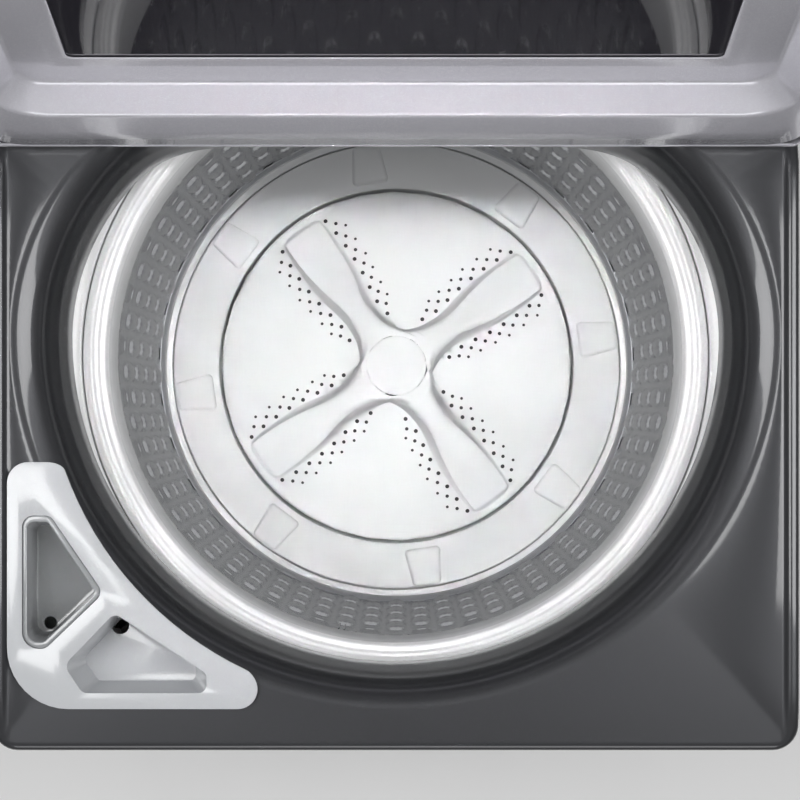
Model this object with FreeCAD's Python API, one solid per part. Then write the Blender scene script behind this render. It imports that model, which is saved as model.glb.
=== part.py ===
"""Top load washing machine with a low wash plate, built as separate solids.

Millimetres, +Z up, +X to the right and -Y towards the person using it.
The origin is on the floor, under the middle of the cabinet and under the tub's axis.
The lid is modelled open, resting back on its stop.
"""

import FreeCAD, Part
import math
import os

V = FreeCAD.Vector

# ---- driving dimensions -------------------------------------------------------------------
CAB_X = 349.0            # half the cabinet's width
CAB_Y = 345.0            # half the cabinet's depth
SHEET = 1.5              # cabinet steel, with its paint
DECK_Z = 940.0           # flat top of the deck
FOOT_H = 28.0            # floor to the underside of the base frame
BASE_H = 40.0            # height of the base frame
WRAP_TOP = 918.0         # top edge of the cabinet's wrap

OPEN_Y = 15.0            # centre of the deck opening, behind the tub's axis
OPEN_REAR = 190.0        # the opening is cut off flat here, in front of the hinges
# depth under the deck, then half width, reach to the front and reach to the rear
OPENING = [
    (-90.0, 292.5, 292.5, 237.0),
    (-62.0, 294.5, 294.0, 239.0),
    (-34.0, 300.0, 298.0, 243.5),
    (-13.0, 312.0, 306.0, 253.0),
    (-3.0, 324.0, 315.0, 262.0),
    (0.0, 334.0, 323.0, 271.0),
]
DECK_T = 2.0             # wall of the deck pressing
RIM_X = 338.0            # inner side of the raised rim along each side of the deck
RIM_H = 6.0

HINGE_Y = 191.5
HINGE_Z = 968.0
LID_HALF_T = 17.0        # half the lid's thickness, and the radius of its rear edge
LID_X = 345.0
LID_FRONT = -319.0
LID_CORNER = 32.0
LID_OPEN = 104.0         # degrees that the lid opens before it meets its stop
LID_SKIN = 2.0
RECESS_X = 326.0         # recess in the underside of the lid
RECESS_Y = (-296.0, 123.0)
RECESS_R = 45.0
RECESS_BEVEL = 18.0
RECESS_DEPTH = 26.0

TUB_R = 304.0            # outside of the outer tub
TUB_T = 4.0
TUB_BOTTOM = 232.0
TUB_TOP = 812.0
RING_GAP_R = 286.5       # running gap between the tub ring and the balance ring

BASKET_R = 265.0         # inside of the steel wall
BASKET_T = 1.0
WALL_Z = (345.0, 752.0)
FLOOR_Z = 310.0          # top of the basket floor beside the wash plate
PLATE_R = 198.5          # wash plate
PLATE_GAP = 3.0
ARMS = 4
ARM_TURN = 35.5          # degrees from +X to the first arm
CAP_R = 32.0

SHAFT_R = 10.0           # drive shaft of the wash plate
TUBE_R = 21.0            # spin tube of the basket
RUN = 0.05               # running clearance on a radius

PULLEY_R = 95.0
MOTOR_PULLEY_R = 19.0
MOTOR_AT = (178.0, 0.0)
PULLEY_Z = 88.0

ROD_AT = 268.0           # each suspension rod stands at +-this in X and in Y
ROD_R = 4.0
LUG_Z = 352.0            # top of the tub's lugs
ROD_TOP = 862.0
ROD_FOOT = 236.0

CON_FRONT = (236.0, 958.0)   # lower and upper edge of the console's sloping front, as (y, z)
CON_HEAD = (302.0, 1082.0)
CON_X = 347.0

OUT = "parts"
os.makedirs(OUT, exist_ok=True)


# ---- helpers ------------------------------------------------------------------------------
def save(name, shape):
    """Writes one sub-part as parts/NAME.step."""
    if isinstance(shape, (list, tuple)):
        shape = Part.makeCompound(list(shape))
    shape.exportStep(os.path.join(OUT, name + ".step"))


def box(x, y, z):
    """A box from three (low, high) pairs."""
    return Part.makeBox(x[1] - x[0], y[1] - y[0], z[1] - z[0], V(x[0], y[0], z[0]))


def cyl(r, z, at=(0.0, 0.0)):
    """An upright cylinder from z[0] to z[1]."""
    return Part.makeCylinder(r, z[1] - z[0], V(at[0], at[1], z[0]))


def tube(r_out, r_in, z, at=(0.0, 0.0)):
    """An upright tube."""
    return cyl(r_out, z, at).cut(cyl(r_in, (z[0] - 1, z[1] + 1), at))


def rod(r, start, end):
    """A cylinder from one point to another."""
    a, b = V(*start), V(*end)
    return Part.makeCylinder(r, (b - a).Length, a, b - a)


def turned(profile, at=(0.0, 0.0)):
    """A closed (radius, z) profile turned about an upright axis."""
    points = [V(at[0] + r, at[1], z) for r, z in profile]
    face = Part.Face(Part.makePolygon(points + points[:1]))
    return face.revolve(V(at[0], at[1], 0), V(0, 0, 1), 360)


def side_prism(profile, x):
    """A closed (y, z) profile drawn out along X from x[0] to x[1]."""
    points = [V(x[0], y, z) for y, z in profile]
    face = Part.Face(Part.makePolygon(points + points[:1]))
    return face.extrude(V(x[1] - x[0], 0, 0))


def rounded_wire(corners, z):
    """A closed outline whose corners are (x, y, radius), at height z."""
    edges, ends = [], []
    n = len(corners)
    for i, (x, y, r) in enumerate(corners):
        p = V(x, y, z)
        before = V(corners[i - 1][0], corners[i - 1][1], z) - p
        after = V(corners[(i + 1) % n][0], corners[(i + 1) % n][1], z) - p
        before.normalize()
        after.normalize()
        half = before.getAngle(after) / 2
        reach = r / math.tan(half)
        middle = before + after
        middle.normalize()
        centre = p + middle * (r / math.sin(half))
        start, end = p + before * reach, p + after * reach
        ends.append((start, centre - middle * r, end))
    for i, (start, mid, end) in enumerate(ends):
        edges.append(Part.Arc(start, mid, end).toShape())
        edges.append(Part.LineSegment(end, ends[(i + 1) % n][0]).toShape())
    return Part.Wire(edges)


def rounded_prism(corners, z):
    """A prism on a rounded outline, from z[0] to z[1]."""
    return Part.Face(rounded_wire(corners, z[0])).extrude(V(0, 0, z[1] - z[0]))


def rounded_box(x, y, r, z):
    """A box whose upright edges have radius r."""
    return rounded_prism([(x[0], y[0], r), (x[1], y[0], r), (x[1], y[1], r), (x[0], y[1], r)], z)


def mirrored(shape):
    """The shape and its mirror image across the machine's middle."""
    return [shape, shape.mirror(V(0, 0, 0), V(1, 0, 0))]


def four_corners(make):
    """make(x, y) called once for each suspension corner."""
    return [make(sx * ROD_AT, sy * ROD_AT) for sx in (-1, 1) for sy in (-1, 1)]


# ---- cabinet ------------------------------------------------------------------------------
def cabinet_wrap():
    """One folded sheet: the two sides and the front, with a flange inside the rear edges."""
    z = (FOOT_H + 4, WRAP_TOP)
    outer = rounded_box((-CAB_X, CAB_X), (-CAB_Y, CAB_Y + 40), 22.0, z)
    inner = rounded_box((-CAB_X + SHEET, CAB_X - SHEET), (-CAB_Y + SHEET, CAB_Y + 60), 22.0 - SHEET,
                        (z[0] - 1, z[1] + 1))
    wrap = outer.cut(inner).cut(box((-400, 400), (CAB_Y - 2, 500), (0, 1000)))
    flange = box((-CAB_X + SHEET, -CAB_X + 20), (CAB_Y - 2 - SHEET, CAB_Y - 2), z)
    return wrap.fuse(mirrored(flange)).removeSplitter()


def rear_panel():
    """Flat rear panel with a window for the valve and holes for the drain and the power lead."""
    panel = box((-CAB_X + 2, CAB_X - 2), (CAB_Y - 1.9, CAB_Y - 0.5), (FOOT_H + 6, WRAP_TOP - 4))
    for r, (x, z) in ((21.0, DRAIN_AT), (9.0, GLAND_AT)):
        panel = panel.cut(rod(r, (x, CAB_Y - 5, z), (x, CAB_Y + 5, z)))
    return panel


def base_frame():
    """Open rectangular frame of folded channel that the cabinet stands on."""
    inset = SHEET + 0.3
    z = (FOOT_H, FOOT_H + BASE_H)
    x, y = CAB_X - inset, CAB_Y - inset - 3
    window = box((-x + 46, x - 46), (-y + 46, y - 46), (z[0] - 1, z[1] + 1))
    frame = rounded_box((-x, x), (-y, y), 20.5, z).cut(window)
    hollow = rounded_box((-x + 2.5, x - 2.5), (-y + 2.5, y - 2.5), 18.0, (z[0] + 2.5, z[1] + 1))
    hollow = hollow.cut(box((-x + 43.5, x - 43.5), (-y + 43.5, y - 43.5), (z[0], z[1] + 2)))
    frame = frame.cut(hollow)
    for px in (-1, 1):
        for py in (-1, 1):
            frame = frame.cut(cyl(5.2, (z[0] - 1, z[0] + 4), (px * FOOT_AT[0], py * FOOT_AT[1])))
    return frame


FOOT_AT = (318.0, 312.0)


def levelling_foot(x, y):
    """A foot with its moulded-in stud, and the nut that locks it."""
    sole = turned([(0, 0), (21, 0), (23, 3), (23, 9), (15, 15), (0, 15)], (x, y))
    stud = cyl(5.0, (14.0, FOOT_H + 22), (x, y))
    nut = cyl(9.5, (FOOT_H - 8, FOOT_H - 0.2), (x, y)).cut(cyl(5.02, (0, 60), (x, y)))
    return sole.fuse(stud), nut


# ---- deck ---------------------------------------------------------------------------------
def opening_wire(level, grow=0.0):
    """Outline of the deck opening at one level: a half ellipse to the front, a flatter one behind."""
    z, half, front, rear = level
    z, half, front, rear = DECK_Z + z, half + grow, front + grow, rear + grow
    side = V(half, OPEN_Y, z)
    other = V(-half, OPEN_Y, z)
    edges = []
    for reach, first, last in ((rear, side, other), (-front, other, side)):
        diagonal = math.sqrt(0.5)
        edges.append(half_ellipse(half, reach, z, first, last, diagonal))
    return Part.Wire(edges)


def half_ellipse(half, reach, z, first, last, diagonal):
    """Half an ellipse about the opening's centre, on the side that reach points to."""
    centre = V(0, OPEN_Y, z)
    if half >= abs(reach):
        whole = Part.Ellipse(V(half, OPEN_Y, z), V(0, OPEN_Y + abs(reach), z), centre)
    else:
        whole = Part.Ellipse(V(0, OPEN_Y + abs(reach), z), V(half, OPEN_Y, z), centre)
    middle = V(0, OPEN_Y + reach, z)
    a, m, b = (whole.parameter(p) for p in (first, middle, last))
    turn = 2 * math.pi
    if (m - a) % turn > (b - a) % turn:
        a, b = b, a
    return whole.toShape(a, a + (b - a) % turn)


def funnel(grow, extra):
    """Solid plug that fills the deck opening, grown by grow, reaching extra past both ends."""
    rear = box((-500, 500), (OPEN_REAR + grow, 500), (DECK_Z - 200, DECK_Z + 200))
    levels = OPENING
    if extra:
        low, high = levels[0], levels[-1]
        levels = [(low[0] - extra, *low[1:]), *levels, (high[0] + extra, *high[1:])]
    return Part.makeLoft([opening_wire(level, grow) for level in levels], True, True).cut(rear)


def top_deck():
    """Steel pressing: flat top, rolled opening, raised side rims and a skirt over the cabinet."""
    z = (WRAP_TOP + 0.5, DECK_Z)
    outer = rounded_box((-CAB_X, CAB_X), (-CAB_Y, CAB_Y - 2.5), 22.0, z)
    inner = rounded_box((-CAB_X + DECK_T, CAB_X - DECK_T), (-CAB_Y + DECK_T, CAB_Y - 2.5 - DECK_T),
                        20.0, (z[0] - 1, DECK_Z - DECK_T))
    deck = outer.cut(inner)
    rim = box((RIM_X, CAB_X), (-CAB_Y + 22, 176.0), (DECK_Z - 1, DECK_Z + RIM_H))
    deck = deck.fuse(mirrored(rim))
    deck = deck.fuse(funnel(DECK_T, 0.0)).cut(funnel(0.0, 3.0))
    deck = deck.cut(tray_well()).cut(lock_slot())
    hose = cyl(8.5, (DECK_Z - 20, DECK_Z + 20), HOSE_DROP)
    spout = box((NOZZLE_X - 15, NOZZLE_X + 15), (OPEN_REAR - 2, OPEN_REAR + 4),
                (NOZZLE_Z - 11, NOZZLE_Z + 1))
    return deck.cut(hose).cut(spout).removeSplitter()


def lock_slot():
    """Slot in the deck for the lid's strike."""
    x, y = LOCK_AT
    return box((x - 5, x + 5), (y - 11, y + 11), (DECK_Z - 5, DECK_Z + 5))


LOCK_AT = (268.0, -304.0)
HOSE_DROP = (-272.5, 311.0)
NOZZLE_X = -120.0
NOZZLE_Z = 908.0

# ---- dispenser ----------------------------------------------------------------------------
TRAY_TOP = DECK_Z + 4.5
TRAY_R = 303.0           # radius of the tray's hollow side, about the tub's axis
CUP_OUTLINE = [(-322.5, -141.0, 10.0), (-322.5, -256.0, 14.0), (-302.0, -256.0, 10.0),
               (-252.0, -208.0, 9.0), (-298.0, -141.0, 9.0)]
BASIN_OUTLINE = [(-242.0, -222.0, 9.0), (-290.0, -272.0, 12.0), (-272.0, -297.0, 10.0),
                 (-160.0, -297.0, 9.0), (-160.0, -276.0, 9.0)]


def tray_body(z, shrink=0.0):
    """The tray's outline as a prism: a corner shape with a hollow side round the opening."""
    body = rounded_prism([(-335.0 + shrink, -308.0 + shrink, 53.0 - shrink),
                          (-119.0 - shrink, -308.0 + shrink, 17.0),
                          (-119.0 - shrink, -200.0, 10.0), (-200.0, -95.0 - shrink, 10.0),
                          (-335.0 + shrink, -95.0 - shrink, 18.0)], z)
    return body.cut(cyl(TRAY_R + shrink, (z[0] - 1, z[1] + 1)))


def tray_well():
    """What the deck has cut out for the tray."""
    return tray_body((DECK_Z - 40, DECK_Z + 20), 5.0).cut(cyl(TRAY_R + 14, (0, DECK_Z + 40)))


def dispenser_tray():
    """White tray over the deck's corner, with a sloping basin and a seat for the bleach cup."""
    rim = tray_body((DECK_Z + 0.3, TRAY_TOP))
    basin_wall = rounded_prism(BASIN_OUTLINE, (DECK_Z - 46, TRAY_TOP))
    basin = rounded_prism([(x * 0.992, y * 0.992, r - 2) for x, y, r in BASIN_OUTLINE],
                          (DECK_Z - 43.5, TRAY_TOP + 1))
    cup_hole = rounded_prism(CUP_OUTLINE, (DECK_Z - 5, TRAY_TOP + 1))
    spout = cyl(12.0, (DECK_Z - 62, DECK_Z - 45), BASIN_DRAIN)
    tray = rim.fuse(basin_wall).fuse(spout).cut(basin).cut(cup_hole)
    return tray.cut(cyl(8.0, (DECK_Z - 70, DECK_Z), BASIN_DRAIN)).removeSplitter()


BASIN_DRAIN = (-243.0, -240.0)
CUP_DRAIN = (-305.0, -238.0)


def bleach_cup():
    """Smoked plastic cup let into the tray, with its drain tube."""
    flange = rounded_prism(CUP_OUTLINE, (DECK_Z - 1.5, DECK_Z - 0.2))
    inset = [(-321.0, -143.0, 8.5), (-321.0, -254.0, 12.5), (-302.6, -254.0, 8.5),
             (-254.5, -208.0, 7.5), (-299.0, -143.0, 7.5)]
    hole = [(-319.0, -145.0, 6.5), (-319.0, -252.0, 10.5), (-303.4, -252.0, 6.5),
            (-257.5, -208.0, 5.5), (-300.0, -145.0, 5.5)]
    wall = rounded_prism(inset, (DECK_Z - 48, DECK_Z - 0.5))
    tray_seat = cyl(9.0, (DECK_Z - 62, DECK_Z - 47), CUP_DRAIN)
    cup = flange.fuse(wall).fuse(tray_seat).cut(rounded_prism(hole, (DECK_Z - 46, DECK_Z + 5)))
    return cup.cut(cyl(6.0, (DECK_Z - 70, DECK_Z - 40), CUP_DRAIN)).removeSplitter()


# ---- lid ----------------------------------------------------------------------------------
def open_lid(shape):
    """Turns a piece drawn with the lid shut to where the open lid holds it."""
    shape = shape.copy()
    shape.rotate(V(0, HINGE_Y, HINGE_Z), V(1, 0, 0), -LID_OPEN)
    return shape


def lid_slab(inset, low):
    """Outer form of the lid, inset on every side and reaching down to low."""
    half = LID_HALF_T - inset
    slab = box((-LID_X + inset, LID_X - inset), (LID_FRONT + inset, HINGE_Y), (low, HINGE_Z + half))
    edge = rod(half, (-LID_X + inset, HINGE_Y, HINGE_Z), (LID_X - inset, HINGE_Y, HINGE_Z))
    plan = rounded_box((-LID_X + inset, LID_X - inset), (LID_FRONT + inset, HINGE_Y + half),
                       LID_CORNER - inset, (low - 1, HINGE_Z + 60))
    return slab.fuse(edge).common(plan)


WINDOW_X = 262.0
WINDOW_Y = (-262.0, 82.0)
HINGE_ARM_X = (302.0, 312.0)


def hinge_notch():
    """Slots in the lid's top rear edge that the hinge arms stand in."""
    low, high = HINGE_ARM_X
    cut = box((low - 3, high + 3), (HINGE_Y - 14, HINGE_Y + 30), (HINGE_Z - 13, HINGE_Z + 40))
    return mirrored(cut)


def lid_shell():
    """Painted outer pressing of the lid, hollow from below, with a window for the glass."""
    shell = lid_slab(0.0, HINGE_Z - LID_HALF_T).cut(lid_slab(LID_SKIN, HINGE_Z - LID_HALF_T - 3))
    window = rounded_box((-WINDOW_X, WINDOW_X), WINDOW_Y, 34.0, (HINGE_Z, HINGE_Z + 40))
    return shell.cut(window).cut(hinge_notch()).removeSplitter()


def recess_outline(inset, z):
    return rounded_wire([(-RECESS_X + inset, RECESS_Y[0] + inset, RECESS_R - inset),
                         (RECESS_X - inset, RECESS_Y[0] + inset, RECESS_R - inset),
                         (RECESS_X - inset, RECESS_Y[1] - inset, RECESS_R - inset),
                         (-RECESS_X + inset, RECESS_Y[1] - inset, RECESS_R - inset)], z)


def lid_inner_pan():
    """Inner pressing: a flat border, a bevelled step and the recess floor round the glass."""
    low = HINGE_Z - LID_HALF_T
    top = low + RECESS_DEPTH
    gap = LID_SKIN + 0.3
    plate = rounded_box((-LID_X + gap, LID_X - gap), (LID_FRONT + gap, HINGE_Y), LID_CORNER - gap,
                        (low, low + LID_SKIN))
    block = Part.makeLoft([recess_outline(-LID_SKIN, low), recess_outline(RECESS_BEVEL - LID_SKIN, top)],
                          True, True)
    hollow = Part.makeLoft([recess_outline(0.0, low - 0.01),
                            recess_outline(RECESS_BEVEL, top - LID_SKIN)], True, True)
    window = rounded_box((-WINDOW_X + 8, WINDOW_X - 8), (WINDOW_Y[0] + 8, WINDOW_Y[1] - 8), 28.0,
                         (low, top + 1))
    pan = plate.fuse(block).cut(hollow).cut(window)
    return pan.fuse(pin_bosses()).cut(hinge_notch()).removeSplitter()


GLASS_Z = (HINGE_Z - LID_HALF_T + RECESS_DEPTH, HINGE_Z + LID_HALF_T - LID_SKIN)


def lid_glass():
    """Tinted pane between the two pressings."""
    return rounded_box((-WINDOW_X - 14, WINDOW_X + 14), (WINDOW_Y[0] - 14, WINDOW_Y[1] + 14), 44.0, GLASS_Z)


def lid_handle():
    """Bright pull strip along the lid's front edge."""
    z = HINGE_Z
    y = LID_FRONT
    profile = [(y, z - 12), (y, z + 12), (y - 7, z + 12), (y - 11, z + 8), (y - 11, z - 8), (y - 8, z - 12)]
    return side_prism(profile, (-150.0, 150.0))


def lid_bumpers():
    """Two rubber buttons under the front of the lid's border."""
    low = HINGE_Z - LID_HALF_T
    return mirrored(turned([(0, low), (5, low), (5, low - 9), (3.5, DECK_Z + 0.4), (0, DECK_Z + 0.4)],
                           (BUMPER_X, LID_FRONT + 12)))


BUMPER_X = 322.0


def lid_strike():
    """Steel tongue under the lid's front edge, with the window that the lock's bolt enters."""
    low = HINGE_Z - LID_HALF_T
    x, y = LOCK_AT
    tongue = box((x - 1.5, x + 1.5), (y - 8, y + 8), (low - 36, low))
    return tongue.cut(box((x - 3, x + 3), (y - 4.6, y + 4.6), (low - 34, low - 24)))


def hinge_pins():
    """Steel pins across the lid's two hinge slots."""
    pin = rod(4.0, (HINGE_ARM_X[0] - 12, HINGE_Y, HINGE_Z), (HINGE_ARM_X[1] + 12, HINGE_Y, HINGE_Z))
    return mirrored(pin)


def pin_bosses():
    """Plastic blocks inside the lid that hold the ends of the hinge pins."""
    made = []
    for x in ((HINGE_ARM_X[0] - 13, HINGE_ARM_X[0] - 3.2), (HINGE_ARM_X[1] + 3.2, HINGE_ARM_X[1] + 13)):
        block = box(x, (HINGE_Y - 12, HINGE_Y + 8), (HINGE_Z - 12, HINGE_Z + 9))
        block = block.fuse(box(x, (HINGE_Y - 12, HINGE_Y - 0.5), (HINGE_Z - LID_HALF_T + 1, HINGE_Z - 11)))
        pin = rod(4.0, (x[0] - 1, HINGE_Y, HINGE_Z), (x[1] + 1, HINGE_Y, HINGE_Z))
        made += mirrored(block.cut(pin))
    return made


def hinge_arms():
    """Fixed steel arms: a foot on the deck, an upright and an eye round the pin."""
    low, high = HINGE_ARM_X
    foot = box((low - 8, high + 8), (HINGE_Y + 12, HINGE_Y + 32), (DECK_Z, DECK_Z + 2.5))
    upright = box((low, high), (HINGE_Y + 22, HINGE_Y + 32), (DECK_Z + 2, HINGE_Z + 7))
    reach = box((low, high), (HINGE_Y, HINGE_Y + 30), (HINGE_Z - 5, HINGE_Z + 7))
    eye = rod(9.0, (low, HINGE_Y, HINGE_Z), (high, HINGE_Y, HINGE_Z))
    arm = foot.fuse(upright).fuse(reach).fuse(eye)
    arm = arm.cut(rod(4.0 + RUN, (low - 1, HINGE_Y, HINGE_Z), (high + 1, HINGE_Y, HINGE_Z)))
    return mirrored(arm.removeSplitter())


def lid_lock_housing():
    """Plastic box under the deck's lock slot."""
    x, y = LOCK_AT
    block = box((x - 40, x + 30), (y - 17, y + 17), (DECK_Z - 42, DECK_Z - DECK_T))
    block = block.cut(box((x - 5, x + 5), (y - 11, y + 11), (DECK_Z - 30, DECK_Z + 1)))
    return block.cut(box((x - 37, x + 10), (y - 4.3, y + 4.3), (DECK_Z - 22.3, DECK_Z - 13.7)))


def lock_bolt():
    """Bolt that a solenoid pushes through the strike."""
    x, y = LOCK_AT
    return box((x - 36, x - 7.5), (y - 4, y + 4), (DECK_Z - 22, DECK_Z - 14))


# ---- console ------------------------------------------------------------------------------
def console_profile(inset):
    """Side view of the console, inset from its outside, with a rounded head."""
    (y0, z0), (y1, z1) = CON_FRONT, CON_HEAD
    back = CAB_Y - 3.0
    return [(y0 - 6 + inset, DECK_Z + 0.5 + inset), (back - inset, DECK_Z + 0.5 + inset),
            (back - inset, z1 - 10), (back - 10 - inset / 2, z1 + 3 - inset), (y1 + 10, z1 + 3 - inset),
            (y1 + inset * 0.8, z1 - inset * 0.4), (y0 + inset, z0), (y0 - 6 + inset, z0 - 6)]


def slope(along, out, x):
    """A point on the console's sloping front: along it from its lower edge, and out from it."""
    (y0, z0), (y1, z1) = CON_FRONT, CON_HEAD
    length = math.hypot(y1 - y0, z1 - z0)
    uy, uz = (y1 - y0) / length, (z1 - z0) / length
    return (x, y0 + uy * along - uz * out, z0 + uz * along + uy * out)


SLOPE_LENGTH = math.hypot(CON_HEAD[0] - CON_FRONT[0], CON_HEAD[1] - CON_FRONT[1])


def slope_block(x, along, out):
    """A block lying on the console's sloping front."""
    corners = [slope(along[i], out[j], x[0]) for i, j in ((0, 0), (1, 0), (1, 1), (0, 1))]
    return side_prism([(p[1], p[2]) for p in corners], x)


def slope_disc(r, x, along, out):
    """A disc or pin standing on the console's sloping front."""
    return rod(r, slope(along, out[0], x), slope(along, out[1], x))


FASCIA_X = 318.0
FASCIA_ALONG = (14.0, SLOPE_LENGTH - 12.0)
KNOB_ALONG = 72.0
KNOB_R = 34.0
BUTTONS = [(-190.0, 72.0), (-120.0, 72.0), (250.0, 72.0)]
BUTTON_R = 9.0
START_R = 15.0
DISPLAY = ((92.0, 200.0), (50.0, 94.0))


def console_housing():
    """Moulded console shell: floor over the rear of the opening, ends, back and sloping front."""
    shell = side_prism(console_profile(0.0), (-CON_X, CON_X))
    hollow = side_prism(console_profile(3.0), (-CON_X + 3, CON_X - 3))
    shell = shell.cut(hollow)
    shell = shell.cut(slope_block((-FASCIA_X + 6, FASCIA_X - 6),
                                  (FASCIA_ALONG[0] + 6, FASCIA_ALONG[1] - 6), (-8.0, 4.0)))
    low, high, back = INLETS_X[0] - 27, INLETS_X[1] + 27, CAB_Y - 4
    recess = box((low - 2, high + 2), (CAB_Y - 22, back), (INLET_Z - 26, INLET_Z + 26))
    shell = shell.fuse(recess).cut(box((low, high), (CAB_Y - 30, CAB_Y + 5), (INLET_Z - 24, INLET_Z + 24)))
    return shell.cut(cyl(8.5, (DECK_Z - 5, DECK_Z + 8), HOSE_DROP)).removeSplitter()


def console_fascia():
    """Control panel plate, with holes for the knob, the buttons and the display."""
    plate = slope_block((-FASCIA_X, FASCIA_X), FASCIA_ALONG, (0.0, 3.2))
    plate = plate.cut(slope_disc(6.5, 0.0, KNOB_ALONG, (-5.0, 8.0)))
    for i, (x, along) in enumerate(BUTTONS):
        r = START_R if i == len(BUTTONS) - 1 else BUTTON_R
        plate = plate.cut(slope_disc(r + 0.4, x, along, (-5.0, 8.0)))
    x, along = DISPLAY
    return plate.cut(slope_block(x, along, (-1.0, 5.0)))


def display_window():
    x, along = DISPLAY
    return slope_block((x[0] + 0.3, x[1] - 0.3), (along[0] + 0.3, along[1] - 0.3), (0.6, 3.0))


def cycle_knob():
    """Skirted knob on its short spindle."""
    skirt = slope_disc(KNOB_R, 0.0, KNOB_ALONG, (3.9, 8.0))
    grip = slope_disc(KNOB_R - 6, 0.0, KNOB_ALONG, (8.0, 24.0))
    spindle = slope_disc(4.0, 0.0, KNOB_ALONG, (-14.0, 4.0))
    return skirt.fuse(grip).fuse(spindle).removeSplitter()


def encoder():
    """Rotary encoder on the board that the knob's spindle turns in."""
    body = slope_disc(13.0, 0.0, KNOB_ALONG, (-18.2, -5.0))
    return body.cut(slope_disc(4.0 + RUN, 0.0, KNOB_ALONG, (-19.0, -4.0)))


def button(i):
    """Push button with its short stem."""
    x, along = BUTTONS[i]
    r = START_R if i == len(BUTTONS) - 1 else BUTTON_R
    cap = slope_disc(r, x, along, (-1.0, 6.0))
    return cap.fuse(slope_disc(3.0, x, along, (-8.0, 0.0))).removeSplitter()


def control_board():
    """Circuit board behind the panel, with its chips, its switches and the knob's encoder."""
    board = slope_block((-214.0, 290.0), (34.0, 112.0), (-20.0, -18.2))
    chips = [slope_block((x, x + 22), (50.0, 66.0), (-18.2, -14.0)) for x in (-90.0, -48.0, 52.0)]
    chips.append(encoder())
    switches = []
    for x, along in BUTTONS:
        switches.append(slope_block((x - 6, x + 6), (along - 6, along + 6), (-18.2, -11.3)))
    return [board] + chips + switches


# ---- water and drain ----------------------------------------------------------------------
INLETS_X = (-300.0, -245.0)
INLET_Z = 1010.0
INLET_R = 13.4
DRAIN_AT = (-285.0, 120.0)
GLAND_AT = (285.0, 880.0)


def water_valve():
    """Twin inlet valve: two nipples through the console's back, two coils and one outlet."""
    low, high = INLETS_X[0] - 20, INLETS_X[1] + 20
    block = box((low, high), (CAB_Y - 46, CAB_Y - 24), (INLET_Z - 17, INLET_Z + 17))
    plate = box((low - 9, high + 9), (CAB_Y - 24.2, CAB_Y - 22), (INLET_Z - 26, INLET_Z + 26))
    block = block.fuse(plate)
    for x in INLETS_X:
        nipple = rod(INLET_R, (x, CAB_Y - 24, INLET_Z), (x, CAB_Y - 0.5, INLET_Z))
        block = block.fuse(nipple).cut(rod(9.5, (x, CAB_Y - 26, INLET_Z), (x, CAB_Y + 2, INLET_Z)))
        block = block.fuse(cyl(11.5, (INLET_Z + 16, INLET_Z + 46), (x, CAB_Y - 34)))
    return block.fuse(cyl(8.0, (INLET_Z - 34, INLET_Z - 16), HOSE_DROP)).removeSplitter()


def fill_hose():
    """Hose from the valve down through the deck and forward to the fill nozzle."""
    x, y = HOSE_DROP
    z = NOZZLE_Z - 5
    points = [V(x, y, INLET_Z - 34.2), V(x, y, z), V(NOZZLE_X, y - 40, z), V(NOZZLE_X, OPEN_REAR + 48.2, z)]
    return bent_tube(points, 7.0)


def bent_tube(points, r, bend=0.45):
    """Round bar along straight runs joined by tangent arcs."""
    edges, last = [], points[0]
    for i in range(1, len(points) - 1):
        p = points[i]
        a, b = points[i - 1] - p, points[i + 1] - p
        reach = bend * min(a.Length, b.Length)
        a.normalize()
        b.normalize()
        half = a.getAngle(b) / 2
        middle = a + b
        middle.normalize()
        radius = reach * math.tan(half)
        start, end = p + a * reach, p + b * reach
        mid = p + middle * (radius / math.sin(half) - radius)
        edges += [Part.LineSegment(last, start).toShape(), Part.Arc(start, mid, end).toShape()]
        last = end
    edges.append(Part.LineSegment(last, points[-1]).toShape())
    path = Part.Wire(edges)
    direction = points[1] - points[0]
    ring = Part.Wire(Part.makeCircle(r, points[0], direction))
    return path.makePipeShell([ring], True, True)


def fill_nozzle():
    """Moulded box behind the opening's rear wall, with a spout through it towards the basket."""
    x, y, z = NOZZLE_X, OPEN_REAR + 2.2, NOZZLE_Z
    body = box((x - 22, x + 22), (y, y + 46), (z - 16, z + 8))
    body = body.cut(box((x - 19, x + 19), (y - 1, y + 43), (z - 13, z + 5)))
    spout = box((x - 14.5, x + 14.5), (y - 5, y + 6), (z - 10.5, z + 0.5))
    spout = spout.cut(box((x - 12.5, x + 12.5), (y - 6, y + 7), (z - 8.5, z - 1.5)))
    plate = box((x - 22, x + 22), (y, y + 2), (z - 16, z + 8))
    plate = plate.cut(box((x - 12.5, x + 12.5), (y - 1, y + 3), (z - 8.5, z - 1.5)))
    return body.fuse(plate).fuse(spout).removeSplitter()


def drain_fitting():
    """Barbed outlet through the rear panel for the drain hose."""
    x, z = DRAIN_AT
    barb = rod(15.0, (x, CAB_Y - 34, z), (x, CAB_Y, z))
    collar = rod(20.5, (x, CAB_Y - 10, z), (x, CAB_Y - 3.5, z))
    return barb.fuse(collar).cut(rod(11.5, (x, CAB_Y - 40, z), (x, CAB_Y + 2, z))).removeSplitter()


def drain_hose():
    """Hose from the pump's outlet, along the floor of the cabinet, to the outlet fitting."""
    x, z = DRAIN_AT
    start = (PUMP_AT[0] + 30, PUMP_AT[1] + 52.4, PUMP_Z + 6)
    points = [V(*start), V(start[0], -90, start[2]), V(start[0] + 20, 120, start[2] + 6),
              V(x, 230, z), V(x, CAB_Y - 34.2, z)]
    return bent_tube(points, 14.0)


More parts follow.
